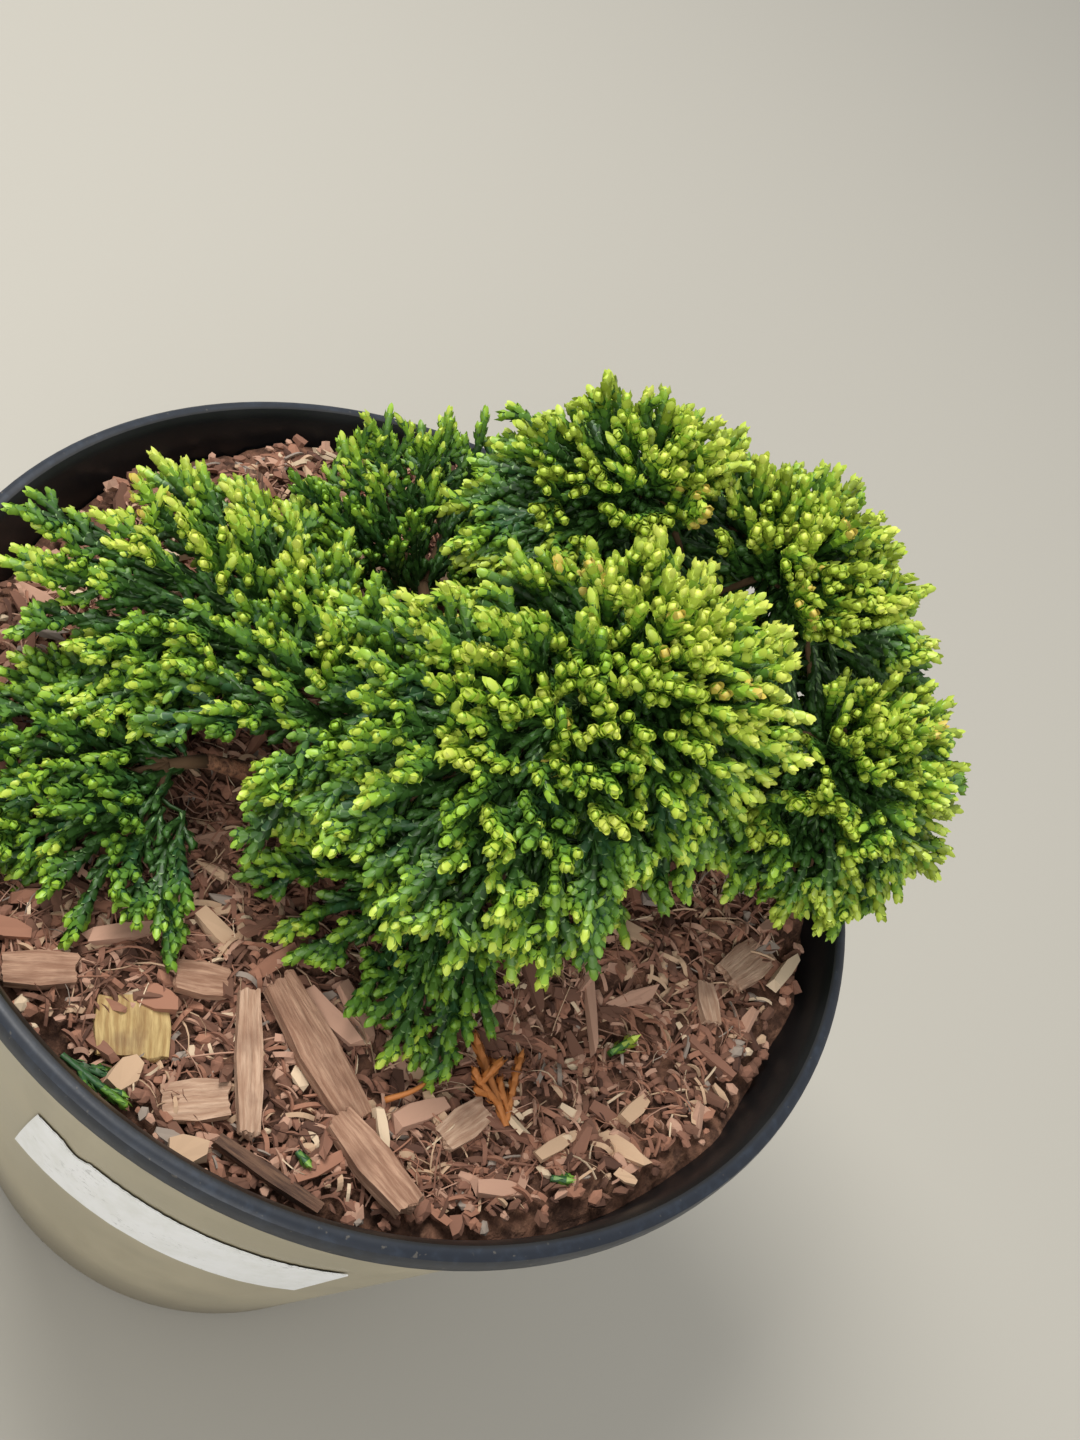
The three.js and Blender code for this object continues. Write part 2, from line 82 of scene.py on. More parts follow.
def plain(name, red, green, blue, roughness):
    """A material of one plain colour, given as it is read off a screen."""
    made = bpy.data.materials.new(name)
    made.use_nodes = True
    shader = made.node_tree.nodes["Principled BSDF"]
    shader.inputs["Base Color"].default_value = screen(red, green, blue)
    shader.inputs["Roughness"].default_value = roughness
    return made


bpy.ops.mesh.primitive_circle_add(vertices=96, radius=1.6, fill_type="NGON", location=(0, 0, 0))
floor = bpy.context.object
floor.name = "floor"
floor.data.materials.append(plain("pale_board", 182, 178, 168, 0.8))


# Pot: a thin moulded nursery pot, taupe outside with a blue-black rolled rim and inside, the inside painted
# darker still than the rim as painted shade.
# Its profile is drawn out point by point and spun, then six drain holes are cut in the floor.
class Wire:
    """The output of a node in a material, with sums and masks written as plain arithmetic."""

    def __init__(self, tree, socket):
        self.tree = tree
        self.socket = socket

    def node(self, kind, settings=None, inputs=None, output=0):
        made = self.tree.nodes.new(kind)
        for name, value in (settings or {}).items():
            setattr(made, name, value)
        for name, value in (inputs or {}).items():
            if isinstance(value, Wire):
                self.tree.links.new(value.socket, made.inputs[name])
            else:
                made.inputs[name].default_value = value
        return Wire(self.tree, made.outputs[output])

    def math(self, operation, first, second):
        return self.node("ShaderNodeMath", {"operation": operation}, {0: first, 1: second})

    def __add__(self, other):
        return self.math("ADD", self, other)

    def __sub__(self, other):
        return self.math("SUBTRACT", self, other)

    def __mul__(self, other):
        return self.math("MULTIPLY", self, other)

    def __rsub__(self, other):
        return self.math("SUBTRACT", other, self)

    def step(self, low, high):
        """0 below low, 1 above high, smooth between them."""
        edges = {"Value": self, "From Min": low, "From Max": high}
        return self.node("ShaderNodeMapRange", {"interpolation_type": "SMOOTHSTEP"}, edges)

    def mix(self, first, second):
        """first where this mask is 0 and second where it is 1, both colours."""
        return self.node("ShaderNodeMix", {"data_type": "RGBA"}, {0: self, 6: first, 7: second}, output=2)

    def noise(self, scale, detail=4, roughness=0.5):
        """Cloudy noise round 0.5, this wire being the place in metres."""
        inputs = {"Vector": self, "Scale": scale, "Detail": detail, "Roughness": roughness}
        return self.node("ShaderNodeTexNoise", inputs=inputs)

    def stretch(self, x, y, z):
        return self.node("ShaderNodeVectorMath", {"operation": "MULTIPLY"}, {0: self, 1: (x, y, z)})

    def part(self, index):
        return self.node("ShaderNodeSeparateXYZ", inputs={0: self}, output=index)

    def bump(self, distance, strength):
        """A normal raised by this height, the height 1 being distance in metres."""
        inputs = {"Height": self, "Distance": distance, "Strength": strength}
        return self.node("ShaderNodeBump", inputs=inputs)


def patterned(name, attribute=None):
    """A new material, its shader and the wire of its place in metres."""
    made = bpy.data.materials.new(name)
    made.use_nodes = True
    tree = made.node_tree
    if attribute:
        source = tree.nodes.new("ShaderNodeAttribute")
        source.attribute_name = attribute
        place = Wire(tree, source.outputs["Vector"])
    else:
        source = tree.nodes.new("ShaderNodeTexCoord")
        place = Wire(tree, source.outputs["Object"])
    return made, tree.nodes["Principled BSDF"], place


def feed(shader, name, wire):
    wire.tree.links.new(wire.socket, shader.inputs[name])


def new_piece(add, name, **sizes):
    """One primitive at the origin, named and left selected by itself."""
    bpy.ops.object.select_all(action="DESELECT")
    add(**sizes)
    piece = bpy.context.object
    piece.name = name
    piece.data.name = name
    return piece


def apply_modifier(piece, kind, **settings):
    modifier = piece.modifiers.new(kind.lower(), kind)
    for name, value in settings.items():
        setattr(modifier, name, value)
    bpy.context.view_layer.objects.active = piece
    bpy.ops.object.modifier_apply(modifier=modifier.name)


BASE_RADIUS, WALL_SPREAD, WALL_HEIGHT = 47, 29.6, 116.5


def wall_radius(z):
    """The pot's outer radius at height z, both in millimetres."""
    return BASE_RADIUS + WALL_SPREAD * z / WALL_HEIGHT


pot = new_piece(bpy.ops.mesh.primitive_plane_add, "pot_body", size=0.001)
pot_profile = [
    (0, 0), (30, 0), (45.8, 0), (46.7, 0.3), (47.3, 1.0), (52.1, 20), (59.7, 50), (67.3, 80), (73.7, 105),
    (76.2, 115.0), (76.5, 116.1), (76.9, 116.6), (78.0, 116.4), (78.6, 116.7), (79.0, 117.5),
    (79.0, 119.6), (78.8, 120.4), (78.2, 120.9), (77.5, 121.0), (76.7, 120.9), (76.2, 120.4),
    (75.4, 119.4), (72.3, 107), (59.7, 56), (46.5, 3.2), (45.3, 2.2), (30, 2.2), (0, 2.2),
]
bpy.ops.object.mode_set(mode="EDIT")
bpy.ops.mesh.merge(type="CENTER")
for start, end in zip(pot_profile, pot_profile[1:]):
    move = ((end[0] - start[0]) * MM, 0, (end[1] - start[1]) * MM)
    bpy.ops.mesh.extrude_region_move(TRANSFORM_OT_translate={"value": move})
bpy.ops.mesh.select_all(action="SELECT")
bpy.ops.mesh.spin(steps=144, angle=2 * math.pi, center=(0, 0, 0), axis=(0, 0, 1))
bpy.ops.mesh.select_all(action="SELECT")
bpy.ops.mesh.remove_doubles(threshold=0.00002)
bpy.ops.mesh.normals_make_consistent(inside=False)
bpy.ops.object.mode_set(mode="OBJECT")
DRAIN_RADIUS, DRAIN_CIRCLE = 4, 32.9
for hole in range(6):
    turn = math.radians(60 * hole)
    drain = new_piece(
        bpy.ops.mesh.primitive_cylinder_add, "drain", vertices=32, radius=DRAIN_RADIUS * MM, depth=12 * MM
    )
    bpy.ops.object.mode_set(mode="EDIT")
    aside = (DRAIN_CIRCLE * MM * math.cos(turn), DRAIN_CIRCLE * MM * math.sin(turn), 0)
    bpy.ops.transform.translate(value=aside)
    bpy.ops.object.mode_set(mode="OBJECT")
    apply_modifier(pot, "BOOLEAN", operation="DIFFERENCE", object=drain, solver="EXACT")
    bpy.data.objects.remove(drain)
bpy.ops.object.select_all(action="DESELECT")
pot.select_set(True)
bpy.context.view_layer.objects.active = pot
bpy.ops.object.shade_smooth_by_angle(angle=math.radians(35))

pot_plastic, shader, place = patterned("pot_plastic")
height = place.part(2)
reach = place.node(
    "ShaderNodeVectorMath", {"operation": "LENGTH"}, {0: place.stretch(1, 1, 0)}, output=1
)
wall_line = height * (WALL_SPREAD / WALL_HEIGHT) + (BASE_RADIUS - 0.5) * MM
outside = (reach - wall_line).step(-0.0002, 0.0002) * (1 - height.step(0.1162, 0.1166))
inside = 1 - (reach - wall_line).step(-0.0004, 0.0001)
mottle = place.noise(45, 5, 0.6)
speckle = place.noise(420, 3, 0.6)
run = place.stretch(1, 1, 0.12).noise(120, 4, 0.6)
taupe = mottle.step(0.3, 0.75).mix(screen(166, 157, 132), screen(181, 171, 146))
taupe = (run.step(0.5, 0.75) * 0.25).mix(taupe, screen(150, 140, 116))
taupe = (height.step(0.0, 0.03) * -0.6 + 0.6).mix(taupe, screen(124, 114, 96))
rim = speckle.step(0.45, 0.75).mix(screen(26, 32, 42), screen(38, 46, 58))
rim = (place.noise(900, 2, 0.5).step(0.68, 0.74) * 0.5).mix(rim, screen(104, 98, 88))
# Painted shade: the inside wall is the rim's dark plastic painted darker still, near black and greyer than
# the blue-black rim.
rim = inside.mix(rim, screen(16, 17, 19))
feed(shader, "Base Color", outside.mix(rim, taupe))
feed(shader, "Roughness", mottle.step(0.3, 0.7) * 0.14 + 0.34)
feed(shader, "Normal", (speckle * 0.6 + mottle * 0.4).bump(0.00012, 0.5))
pot.data.materials.clear()
pot.data.materials.append(pot_plastic)
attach(pot, "root")
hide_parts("pot")

# Sticker: a white paper label bent round the front of the wall, its upper edge torn in one place.
# It is glued to the wall and carries only rubbed grey marks. Its ends are in degrees round the pot.
STICKER_FROM, STICKER_TO, STICKER_SLANT = -101.5, -58.5, 4.5
STICKER_BOTTOM, STICKER_TOP, TORN_AT, GLUE_GAP = 61.5, 91.4, 0.15, 0.42
sticker = new_piece(
    bpy.ops.mesh.primitive_grid_add, "label_paper", x_subdivisions=150, y_subdivisions=12, size=1
)
for corner in sticker.data.vertices:
    along, high = corner.co.x + 0.5, corner.co.y + 0.5
    slant = STICKER_SLANT * (1 - high) * (1 - along)
    turn = math.radians(STICKER_FROM - slant + along * (STICKER_TO - STICKER_FROM))
    low = STICKER_BOTTOM + 1.5 * math.sin(3 * along)
    torn = 2.6 * max(0.0, 1 - abs(along - TORN_AT) / 0.045) ** 0.5 + 0.5 * noise.noise((along * 60, 0, 3))
    top = STICKER_TOP - 3.2 * along - torn
    z = low + (top - low) * high
    radius = wall_radius(z) + GLUE_GAP + 0.05 * noise.noise((along * 14, high * 4, 1))
    corner.co = Vector((radius * math.cos(turn), radius * math.sin(turn), z)) * MM
apply_modifier(sticker, "SOLIDIFY", thickness=0.22 * MM, offset=0)
bpy.ops.object.shade_smooth_by_angle(angle=math.radians(35))
paper, shader, place = patterned("label_paper")
smudge = place.stretch(1, 1, 0.5).noise(160, 5, 0.65)
rubbed = place.noise(700, 3, 0.7).step(0.56, 0.66) * place.noise(90, 2, 0.5).step(0.46, 0.6)
white = smudge.step(0.35, 0.75).mix(screen(250, 251, 252), screen(236, 237, 234))
feed(shader, "Base Color", (rubbed * 0.4).mix(white, screen(120, 120, 118)))
feed(shader, "Roughness", smudge * 0.2 + 0.42)
feed(shader, "Normal", smudge.bump(0.0002, 0.4))
sticker.data.materials.clear()
sticker.data.materials.append(paper)
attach(sticker, "root")
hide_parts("sticker")


# Compost: fills the pot, heaped higher at the back than in front, a lumpy bed of fine bark and coir.
# Crumbs, bark shards and fibres lie loose over it, each kind joined into one mesh. It is level at
# the foot of the trunk. Heights and places here and below are in millimetres.
GROUND, FOOT_X, FOOT_Y = 112.6, 8, 6
INNER_BASE, INNER_SLOPE, FLOOR_THICK, NEAR_WALL = 45.9, 0.2484, 2.2, 73


def soil_height(x, y):
    lumps = (
        math.sin(x * 0.13 + 1) * math.cos(y * 0.17)
        + 0.6 * math.sin(x * 0.31 - y * 0.23)
        + 0.4 * math.cos(x * 0.11 + y * 0.37)
    )
    heap = 0.03 * (x - FOOT_X) + 0.07 * (y - FOOT_Y)
    share = min(max((math.hypot(x - FOOT_X, y - FOOT_Y) - 9) / 13.5, 0), 1)
    return GROUND + (heap + 1.1 * lumps) * share * share * (3 - 2 * share)


BANK_HEIGHT, BANK_TURN, BANK_START = 3.4, 2.3, 59


def banked_height(x, y):
    """The compost's height with the loose bits thrown up against the wall at the back left."""
    facing = max(0, math.cos(math.atan2(y, x) - BANK_TURN))
    near = min(max((math.hypot(x, y) - BANK_START) / 10, 0), 1)
    return soil_height(x, y) + BANK_HEIGHT * facing ** 1.5 * near * near * (3 - 2 * near)


def bed_radius(turn):
    """How far the bed reaches towards this side of the pot, where it meets the inner wall."""
    height = soil_height(NEAR_WALL * math.cos(turn), NEAR_WALL * math.sin(turn))
    return INNER_BASE + INNER_SLOPE * (height - FLOOR_THICK)


def joined(name, points, faces, paint_of_face, paints, smooth=False):
    """One mesh on the root body, its corners in millimetres and one paint number for each face."""
    mesh = bpy.data.meshes.new(name)
    if isinstance(faces, np.ndarray):
        faces = faces.tolist()
    mesh.from_pydata((np.asarray(points) * MM).tolist(), [], faces)
    for paint in paints:
        mesh.materials.append(paint)
    mesh.polygons.foreach_set("material_index", np.asarray(paint_of_face, dtype=np.int32))
    mesh.polygons.foreach_set("use_smooth", [smooth] * len(mesh.polygons))
    mesh.validate()
    piece = bpy.data.objects.new(name, mesh)
    bpy.context.collection.objects.link(piece)
    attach(piece, "root")
    return piece


RINGS, SPOKES = 70, 220
spots, faces = [(0, 0, soil_height(0, 0))], []
for ring in range(1, RINGS + 1):
    for spoke in range(SPOKES):
        turn = 2 * math.pi * spoke / SPOKES
        reach = bed_radius(turn) * ring / RINGS
        x, y = reach * math.cos(turn), reach * math.sin(turn)
        rough = noise.fractal((x * 0.28, y * 0.28, 4), 0.7, 2.2, 5)
        sunk = 2.4 * (ring / RINGS) ** 14
        spots.append((x, y, banked_height(x, y) + 0.9 * rough - sunk))
for spoke in range(SPOKES):
    after = (spoke + 1) % SPOKES
    faces.append((0, 1 + spoke, 1 + after))
    for ring in range(RINGS - 1):
        low = 1 + ring * SPOKES
        faces.append((low + spoke, low + SPOKES + spoke, low + SPOKES + after, low + after))
earth, shader, place = patterned("earth")
clods = place.noise(260, 6, 0.65)
shreds = place.stretch(1, 0.35, 1).noise(900, 4, 0.6)
brown = clods.step(0.36, 0.66).mix(screen(66, 42, 30), screen(128, 90, 70))
feed(shader, "Base Color", (shreds.step(0.5, 0.72) * 0.6).mix(brown, screen(150, 110, 86)))
shader.inputs["Roughness"].default_value = 0.95
feed(shader, "Normal", (clods + shreds * 0.6).bump(0.0009, 0.9))
bed = joined("compost_bed", spots, faces, [0] * len(faces), [earth], smooth=True)
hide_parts("compost")

barks = [
    plain("bark_black", 86, 58, 46, 0.95),
    plain("bark_dark", 114, 80, 64, 0.95),
    plain("bark_red", 136, 96, 78, 0.95),
    plain("bark_rust", 158, 112, 90, 0.95),
    plain("bark_pink", 184, 144, 122, 0.95),
    plain("bark_tan", 196, 164, 134, 0.95),
    plain("bark_pale", 216, 192, 162, 0.95),
    plain("bark_grey", 152, 138, 126, 0.95),
]
ball = np.array([
    (0, 0, 1), (0.89, 0, 0.45), (0.28, 0.85, 0.45), (-0.72, 0.53, 0.45), (-0.72, -0.53, 0.45),
    (0.28, -0.85, 0.45), (0.72, 0.53, -0.45), (-0.28, 0.85, -0.45), (-0.89, 0, -0.45),
    (-0.28, -0.85, -0.45), (0.72, -0.53, -0.45), (0, 0, -1),
])
ball_faces = np.array([
    (0, 1, 2), (0, 2, 3), (0, 3, 4), (0, 4, 5), (0, 5, 1), (1, 6, 2), (2, 7, 3), (3, 8, 4), (4, 9, 5),
    (5, 10, 1), (6, 7, 2), (7, 8, 3), (8, 9, 4), (9, 10, 5), (10, 6, 1), (11, 7, 6), (11, 8, 7),
    (11, 9, 8), (11, 10, 9), (11, 6, 10),
])
block = np.array([
    (-1, -0.8, -1), (-1, 0.8, -1), (-0.3, 1, -1), (0.4, 0.9, -1), (1, 0.5, -1), (1, -0.6, -1),
    (0, -1, -1), (-1, -0.7, 1), (-1, 0.7, 1), (-0.3, 0.9, 1), (0.4, 0.8, 1), (0.95, 0.4, 1),
    (0.95, -0.5, 1), (0, -0.9, 1),
])
block_faces = np.array(
    [(i, (i + 1) % 7, 7 + (i + 1) % 7) for i in range(7)]
    + [(i, 7 + (i + 1) % 7, 7 + i) for i in range(7)]
    + [(7, 7 + i, 7 + i + 1) for i in range(1, 6)]
    + [(0, i + 1, i) for i in range(1, 6)]
)


FOOT_FLARE = 6.5


def strew(name, count, shape, shape_faces, long, wide, thick, lift, shares, seed):
    """Loose bits of one kind strewn over the compost, each turned, stretched and jagged at random."""
    roll = random.Random(seed)
    points, corners, paints = [], [], []
    while len(paints) < count:
        turn = roll.uniform(0, 2 * math.pi)
        edge = bed_radius(turn)
        reach = (edge - 1.5) * math.sqrt(roll.random())
        x, y = reach * math.cos(turn), reach * math.sin(turn)
        if math.hypot(x - FOOT_X, y - FOOT_Y) < FOOT_FLARE:
            continue
        stretch = roll.triangular(0, 1, 0.15)
        size = [low + (high - low) * stretch for low, high in (long, wide, thick)]
        room = edge + 1 - reach
        size[0] = min(size[0], max(room, long[0]))
        jag = np.array([[roll.uniform(0.75, 1.2) for _ in range(3)] for _ in range(len(shape))])
        if reach + size[0] / 2 > edge:
            heading = turn + math.pi / 2 + roll.uniform(-0.3, 0.3)
        else:
            heading = roll.uniform(0, 2 * math.pi)
        spun = Matrix.Rotation(heading, 3, "Z")
        tipped = Matrix.Rotation(roll.gauss(0, 0.24), 3, "Y") @ Matrix.Rotation(roll.gauss(0, 0.4), 3, "X")
        turned = np.array(spun @ tipped)
        spot = np.array((x, y, banked_height(x, y) + lift * size[2] + 0.5 * roll.random()))
        points.append((shape * jag * np.array(size) * 0.5) @ turned.T + spot)
        corners.append(shape_faces + len(shape) * len(paints))
        paints.append(roll.choices(range(len(barks)), shares)[0])
    return joined(
        name, np.concatenate(points), np.concatenate(corners), np.repeat(paints, len(shape_faces)), barks
    )


crumbs = strew(
    "compost_crumbs", 4200, ball, ball_faces, (1.0, 4.6), (0.8, 2.8), (0.6, 1.8), 0.4,
    (12, 18, 26, 18, 12, 6, 3, 3), 11,
)
shards = strew(
    "bark_shards", 620, block, block_faces, (2.4, 9), (0.9, 2.6), (0.4, 1.2), 0.9,
    (8, 20, 24, 20, 14, 8, 3, 3), 12,
)
splinters = strew(
    "wood_splinters", 46, block, block_faces, (7, 13), (1.6, 4.4), (0.8, 1.8), 1.2,
    (0, 6, 20, 24, 22, 18, 6, 4), 14,
)


FIBRE_EDGE = 70


def fibres(name, count, girths, lengths, curl, shares, seed):
    """Bent strands lying over the compost, each a three-sided thread."""
    roll = random.Random(seed)
    points, corners, choice = [], [], []
    while len(choice) < count:
        turn = roll.uniform(0, 2 * math.pi)
        reach = (bed_radius(turn) - 4) * math.sqrt(roll.random())
        x, y = reach * math.cos(turn), reach * math.sin(turn)
        heading = roll.uniform(0, 2 * math.pi)
        girth, length = roll.uniform(*girths), roll.uniform(*lengths)
        bend, arch = roll.gauss(0, curl), roll.uniform(0.2, 0.18 * length + 0.4)
        strand = []
        for i in range(6):
            if math.hypot(x, y) > FIBRE_EDGE:
                break
            z = banked_height(x, y) + 0.9 + arch * math.sin(math.pi * i / 5)
            strand.append((x, y, z))
            heading += bend
            x += length / 5 * math.cos(heading)
            y += length / 5 * math.sin(heading)
        if len(strand) < 6:
            continue
        first = len(points)
        for x, y, z in strand:
            for corner in range(3):
                angle = 2 * math.pi * corner / 3
                points.append((
                    x - girth * math.sin(heading) * math.cos(angle),
                    y + girth * math.cos(heading) * math.cos(angle),
                    z + girth * math.sin(angle),
                ))
        for i in range(5):
            for corner in range(3):
                low, after = first + 3 * i, (corner + 1) % 3
                corners.append((low + corner, low + after, low + 3 + after))
                corners.append((low + corner, low + 3 + after, low + 3 + corner))
        choice.append(roll.choices(range(len(barks)), shares)[0])
    return joined(name, points, corners, np.repeat(choice, 30), barks)


coir = fibres("coir_fibres", 2000, (0.08, 0.18), (3, 10), 0.3, (6, 12, 18, 18, 16, 10, 4, 3), 13)
shreds = fibres("bark_shreds", 4200, (0.2, 0.55), (1.4, 4.6), 0.1, (6, 14, 24, 24, 18, 9, 3, 4), 15)


# Wood chips: split pieces of pale wood and bark lying on the compost, rough along the grain.
# Each is a subdivided block, roughened while squeezed along its length so that the relief runs with
# the grain, then drawn out, turned and bedded. Each row of CHIPS gives the place, the length, width
# and thickness, the turn and tilt in degrees, and the wood.
def wood(name, light, dark):
    made, shader, grain = patterned(name, "grain")
    lines = grain.stretch(0.12, 1, 1).noise(1500, 5, 0.6)
    patch = grain.noise(180, 3, 0.5)
    colour = lines.step(0.32, 0.78).mix(screen(*dark), screen(*light))
    dirty = (patch.step(0.46, 0.74) * 0.5).mix(colour, screen(112, 78, 60))
    feed(shader, "Base Color", dirty)
    shader.inputs["Roughness"].default_value = 0.85
    feed(shader, "Normal", (lines + patch * 0.4).bump(0.0005, 0.8))
    return made


straw = wood("straw_wood", (206, 180, 124), (160, 128, 80))
beige = wood("beige_wood", (208, 176, 150), (164, 128, 104))
tan = wood("tan_wood", (192, 154, 128), (142, 104, 82))
dusky = wood("dusky_wood", (132, 100, 78), (72, 50, 40))
CHIPS = [
    ((-10, -58.7), 8.8, 12.2, 2.0, -53, 6, straw),
    ((3.4, -62.2), 9.4, 7.0, 1.8, 41, -5, beige),
    ((6, -53.2), 21, 4.4, 2.2, -55, 5, beige),
    ((13, -46), 23, 7.4, 2.6, -24, 7, tan),
    ((28.5, -56), 16, 6.6, 2.8, -20, -6, tan),
    ((17.5, -65.2), 17, 2.6, 1.8, 3, 3, dusky),
    ((-6.5, -47.4), 8, 6, 2.0, 34, 8, tan),
    ((-25, -60.6), 10, 6.2, 2.2, 38, -4, tan),
    ((62.3, 12), 11.5, 7.6, 2.2, 72, 7, beige),
    ((59.5, 0), 7.5, 4, 2.0, -58, -6, beige),
    ((36.7, -42), 9.5, 5.6, 1.8, 72, 5, beige),
    ((-60, 8), 16, 5, 2.2, 80, 5, tan),
    ((-50, 29), 18, 5.4, 2.4, 118, -6, dusky),
    ((-38, 44), 15, 6, 2.4, 40, 6, tan),
]
SQUEEZE = 4
for number, ((x, y), length, width, thick, turn, tilt, finish) in enumerate(CHIPS, 1):
    chip = new_piece(bpy.ops.mesh.primitive_cube_add, f"split_chip_{number:02d}", size=MM)
    bpy.ops.object.mode_set(mode="EDIT")
    bpy.ops.transform.resize(value=(length / SQUEEZE, width * 0.9, thick * 0.8))
    bpy.ops.mesh.subdivide(number_cuts=9)
    bpy.ops.object.mode_set(mode="OBJECT")
    for scale, share in ((2.6, 0.16), (0.7, 0.07)):
        rough = bpy.data.textures.new("rough_wood", "CLOUDS")
        rough.noise_scale = scale * MM
        relief = share * min(width, 5, length / 3) * MM
        apply_modifier(
            chip, "DISPLACE", texture=rough, strength=relief, mid_level=0.5, texture_coords="LOCAL"
        )
    bpy.ops.object.mode_set(mode="EDIT")
    bpy.ops.mesh.select_all(action="SELECT")
    bpy.ops.transform.resize(value=(SQUEEZE, 1, 1), center_override=(0, 0, 0))
    bpy.ops.object.mode_set(mode="OBJECT")
    grain = chip.data.attributes.new("grain", "FLOAT_VECTOR", "POINT")
    shift = Vector((0.05 * number, 0.03 * number, 0))
    narrowing = min(0.25, 0.12 * length / width)
    for corner in chip.data.vertices:
        grain.data[corner.index].vector = corner.co + shift
        corner.co.y *= 1 - narrowing * abs(corner.co.x) / (0.5 * length * MM)
    bpy.ops.object.mode_set(mode="EDIT")
    bpy.ops.mesh.select_all(action="SELECT")
    bpy.ops.transform.rotate(value=math.radians(-tilt), orient_axis="Y", center_override=(0, 0, 0))
    bpy.ops.transform.rotate(value=math.radians(-turn), orient_axis="Z", center_override=(0, 0, 0))
    bpy.ops.transform.translate(value=(x * MM, y * MM, (soil_height(x, y) + 0.9 * thick) * MM))
    bpy.ops.object.mode_set(mode="OBJECT")
    bpy.ops.object.shade_smooth_by_angle(angle=math.radians(28))
    chip.data.materials.clear()
    chip.data.materials.append(finish)
    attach(chip, "root")
    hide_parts(f"wood_chip_{number:02d}")


# Trunk and boughs: one short stem with a flared foot leaning into the crown and eleven boughs.
# They are living wood in flaky red-brown bark, ridged along their length.
def curve(points, count):
    """Points at even steps along a smooth line through the given ones."""
    knots = [Vector(point) for point in points]
    knots = [2 * knots[0] - knots[1], *knots, 2 * knots[-1] - knots[-2]]
    dense = []
    for a, b, c, d in zip(knots, knots[1:], knots[2:], knots[3:]):
        for i in range(24):
            t = i / 24
            dense.append(0.5 * (
                2 * b + (c - a) * t + (2 * a - 5 * b + 4 * c - d) * t ** 2
                + (3 * b - a - 3 * c + d) * t ** 3
            ))
    dense.append(knots[-2])
    gone = [0.0]
    for a, b in zip(dense, dense[1:]):
        gone.append(gone[-1] + (b - a).length)
    wanted = [gone[-1] * i / count for i in range(count + 1)]
    along = [np.interp(wanted, gone, [spot[axis] for spot in dense]) for axis in range(3)]
    return [Vector(spot) for spot in zip(*along)]


def tube(path, radii, sides, relief=0.0, seed=0):
    """Corners and faces of a closed limb along a path, ridged by relief as a share of its radius."""
    points, faces = [], []
    side = Vector((0.3, 1, 0.1))
    for i, (spot, radius) in enumerate(zip(path, radii)):
        ahead = (path[min(i + 1, len(path) - 1)] - path[max(i - 1, 0)]).normalized()
        side = (side - ahead * side.dot(ahead)).normalized()
        over = ahead.cross(side)
        for corner in range(sides):
            angle = 2 * math.pi * corner / sides
            wave = 0.0
            if relief:
                key = (2.4 * math.cos(angle) + seed, 2.4 * math.sin(angle), 0.22 * i)
                wave = relief * (noise.fractal(key, 0.8, 2.1, 4) - 0.25)
            reach = radius * (1 + wave)
            points.append(spot + side * (reach * math.cos(angle)) + over * (reach * math.sin(angle)))
    for i in range(len(path) - 1):
        for corner in range(sides):
            low, after = i * sides, (corner + 1) % sides
            faces.append((low + corner, low + after, low + sides + after, low + sides + corner))
    faces.append(tuple(reversed(range(sides))))
    faces.append(tuple((len(path) - 1) * sides + corner for corner in range(sides)))
    return points, faces


bark, shader, place = patterned("flaky_bark")
ridges = place.stretch(1, 1, 0.3).noise(900, 6, 0.65)
flakes = place.noise(350, 4, 0.6)
colour = ridges.step(0.35, 0.66).mix(screen(74, 48, 36), screen(158, 112, 82))
feed(shader, "Base Color", (flakes.step(0.5, 0.7) * 0.5).mix(colour, screen(128, 76, 50)))
shader.inputs["Roughness"].default_value = 0.9
feed(shader, "Normal", (ridges + flakes * 0.5).bump(0.0007, 0.9))


def limb(name, node, path, radii, sides, relief, seed):
    points, faces = tube(path, radii, sides, relief, seed)
    piece = joined(name, points, faces, [0] * len(faces), [bark], smooth=True)
    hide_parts(node)


TRUNK_PATH = [(8, 6, 112.9), (8, 6, 117), (6, 4, 124), (7, 1, 133), (12, 1, 142), (15, 4, 149)]
trunk_line = curve(TRUNK_PATH, 60)
trunk_radii = [3.6 - 2.3 * i / 60 + 1.8 * math.exp(-i / 60 / 0.08) for i in range(61)]
limb("trunk_bark", "trunk", trunk_line, trunk_radii, 36, 0.3, 5)
# Where each bough leaves the trunk, as a share of its length, the point it goes through and its end
BOUGHS = {
    "bough_front_upper": (0.59, (9, -5, 142), (10, -12, 149)),
    "bough_front": (0.22, (14, -3, 123), (21, -12, 127)),
    "bough_front_left": (0.35, (-1, -4, 128), (-9, -11, 134)),
    "bough_left": (0.16, (-6, 8, 121), (-20, 5, 128)),
    "bough_left_low": (0.1, (-6, -9, 117), (-26, -22, 120)),
    "bough_back_left": (0.25, (-4, 14, 121), (-14, 24, 126)),
    "bough_back": (0.47, (4, 17, 139), (-1, 34, 153)),
    "bough_back_right": (0.4, (17, 22, 137), (29, 41, 150)),
    "bough_right": (0.28, (22, 13, 127), (43, 29, 137)),
    "bough_right_low": (0.18, (13, 3, 119), (19, 2, 122)),
    "bough_back_low": (0.13, (9, 22, 119), (13, 42, 122)),
}
for number, (name, (leaves, through, to)) in enumerate(BOUGHS.items()):
    path = curve([trunk_line[round(60 * leaves)], through, to], 30)
    limb(f"{name}_bark", name, path, [2.3 - 1.1 * i / 30 for i in range(31)], 20, 0.28, 20 + number)
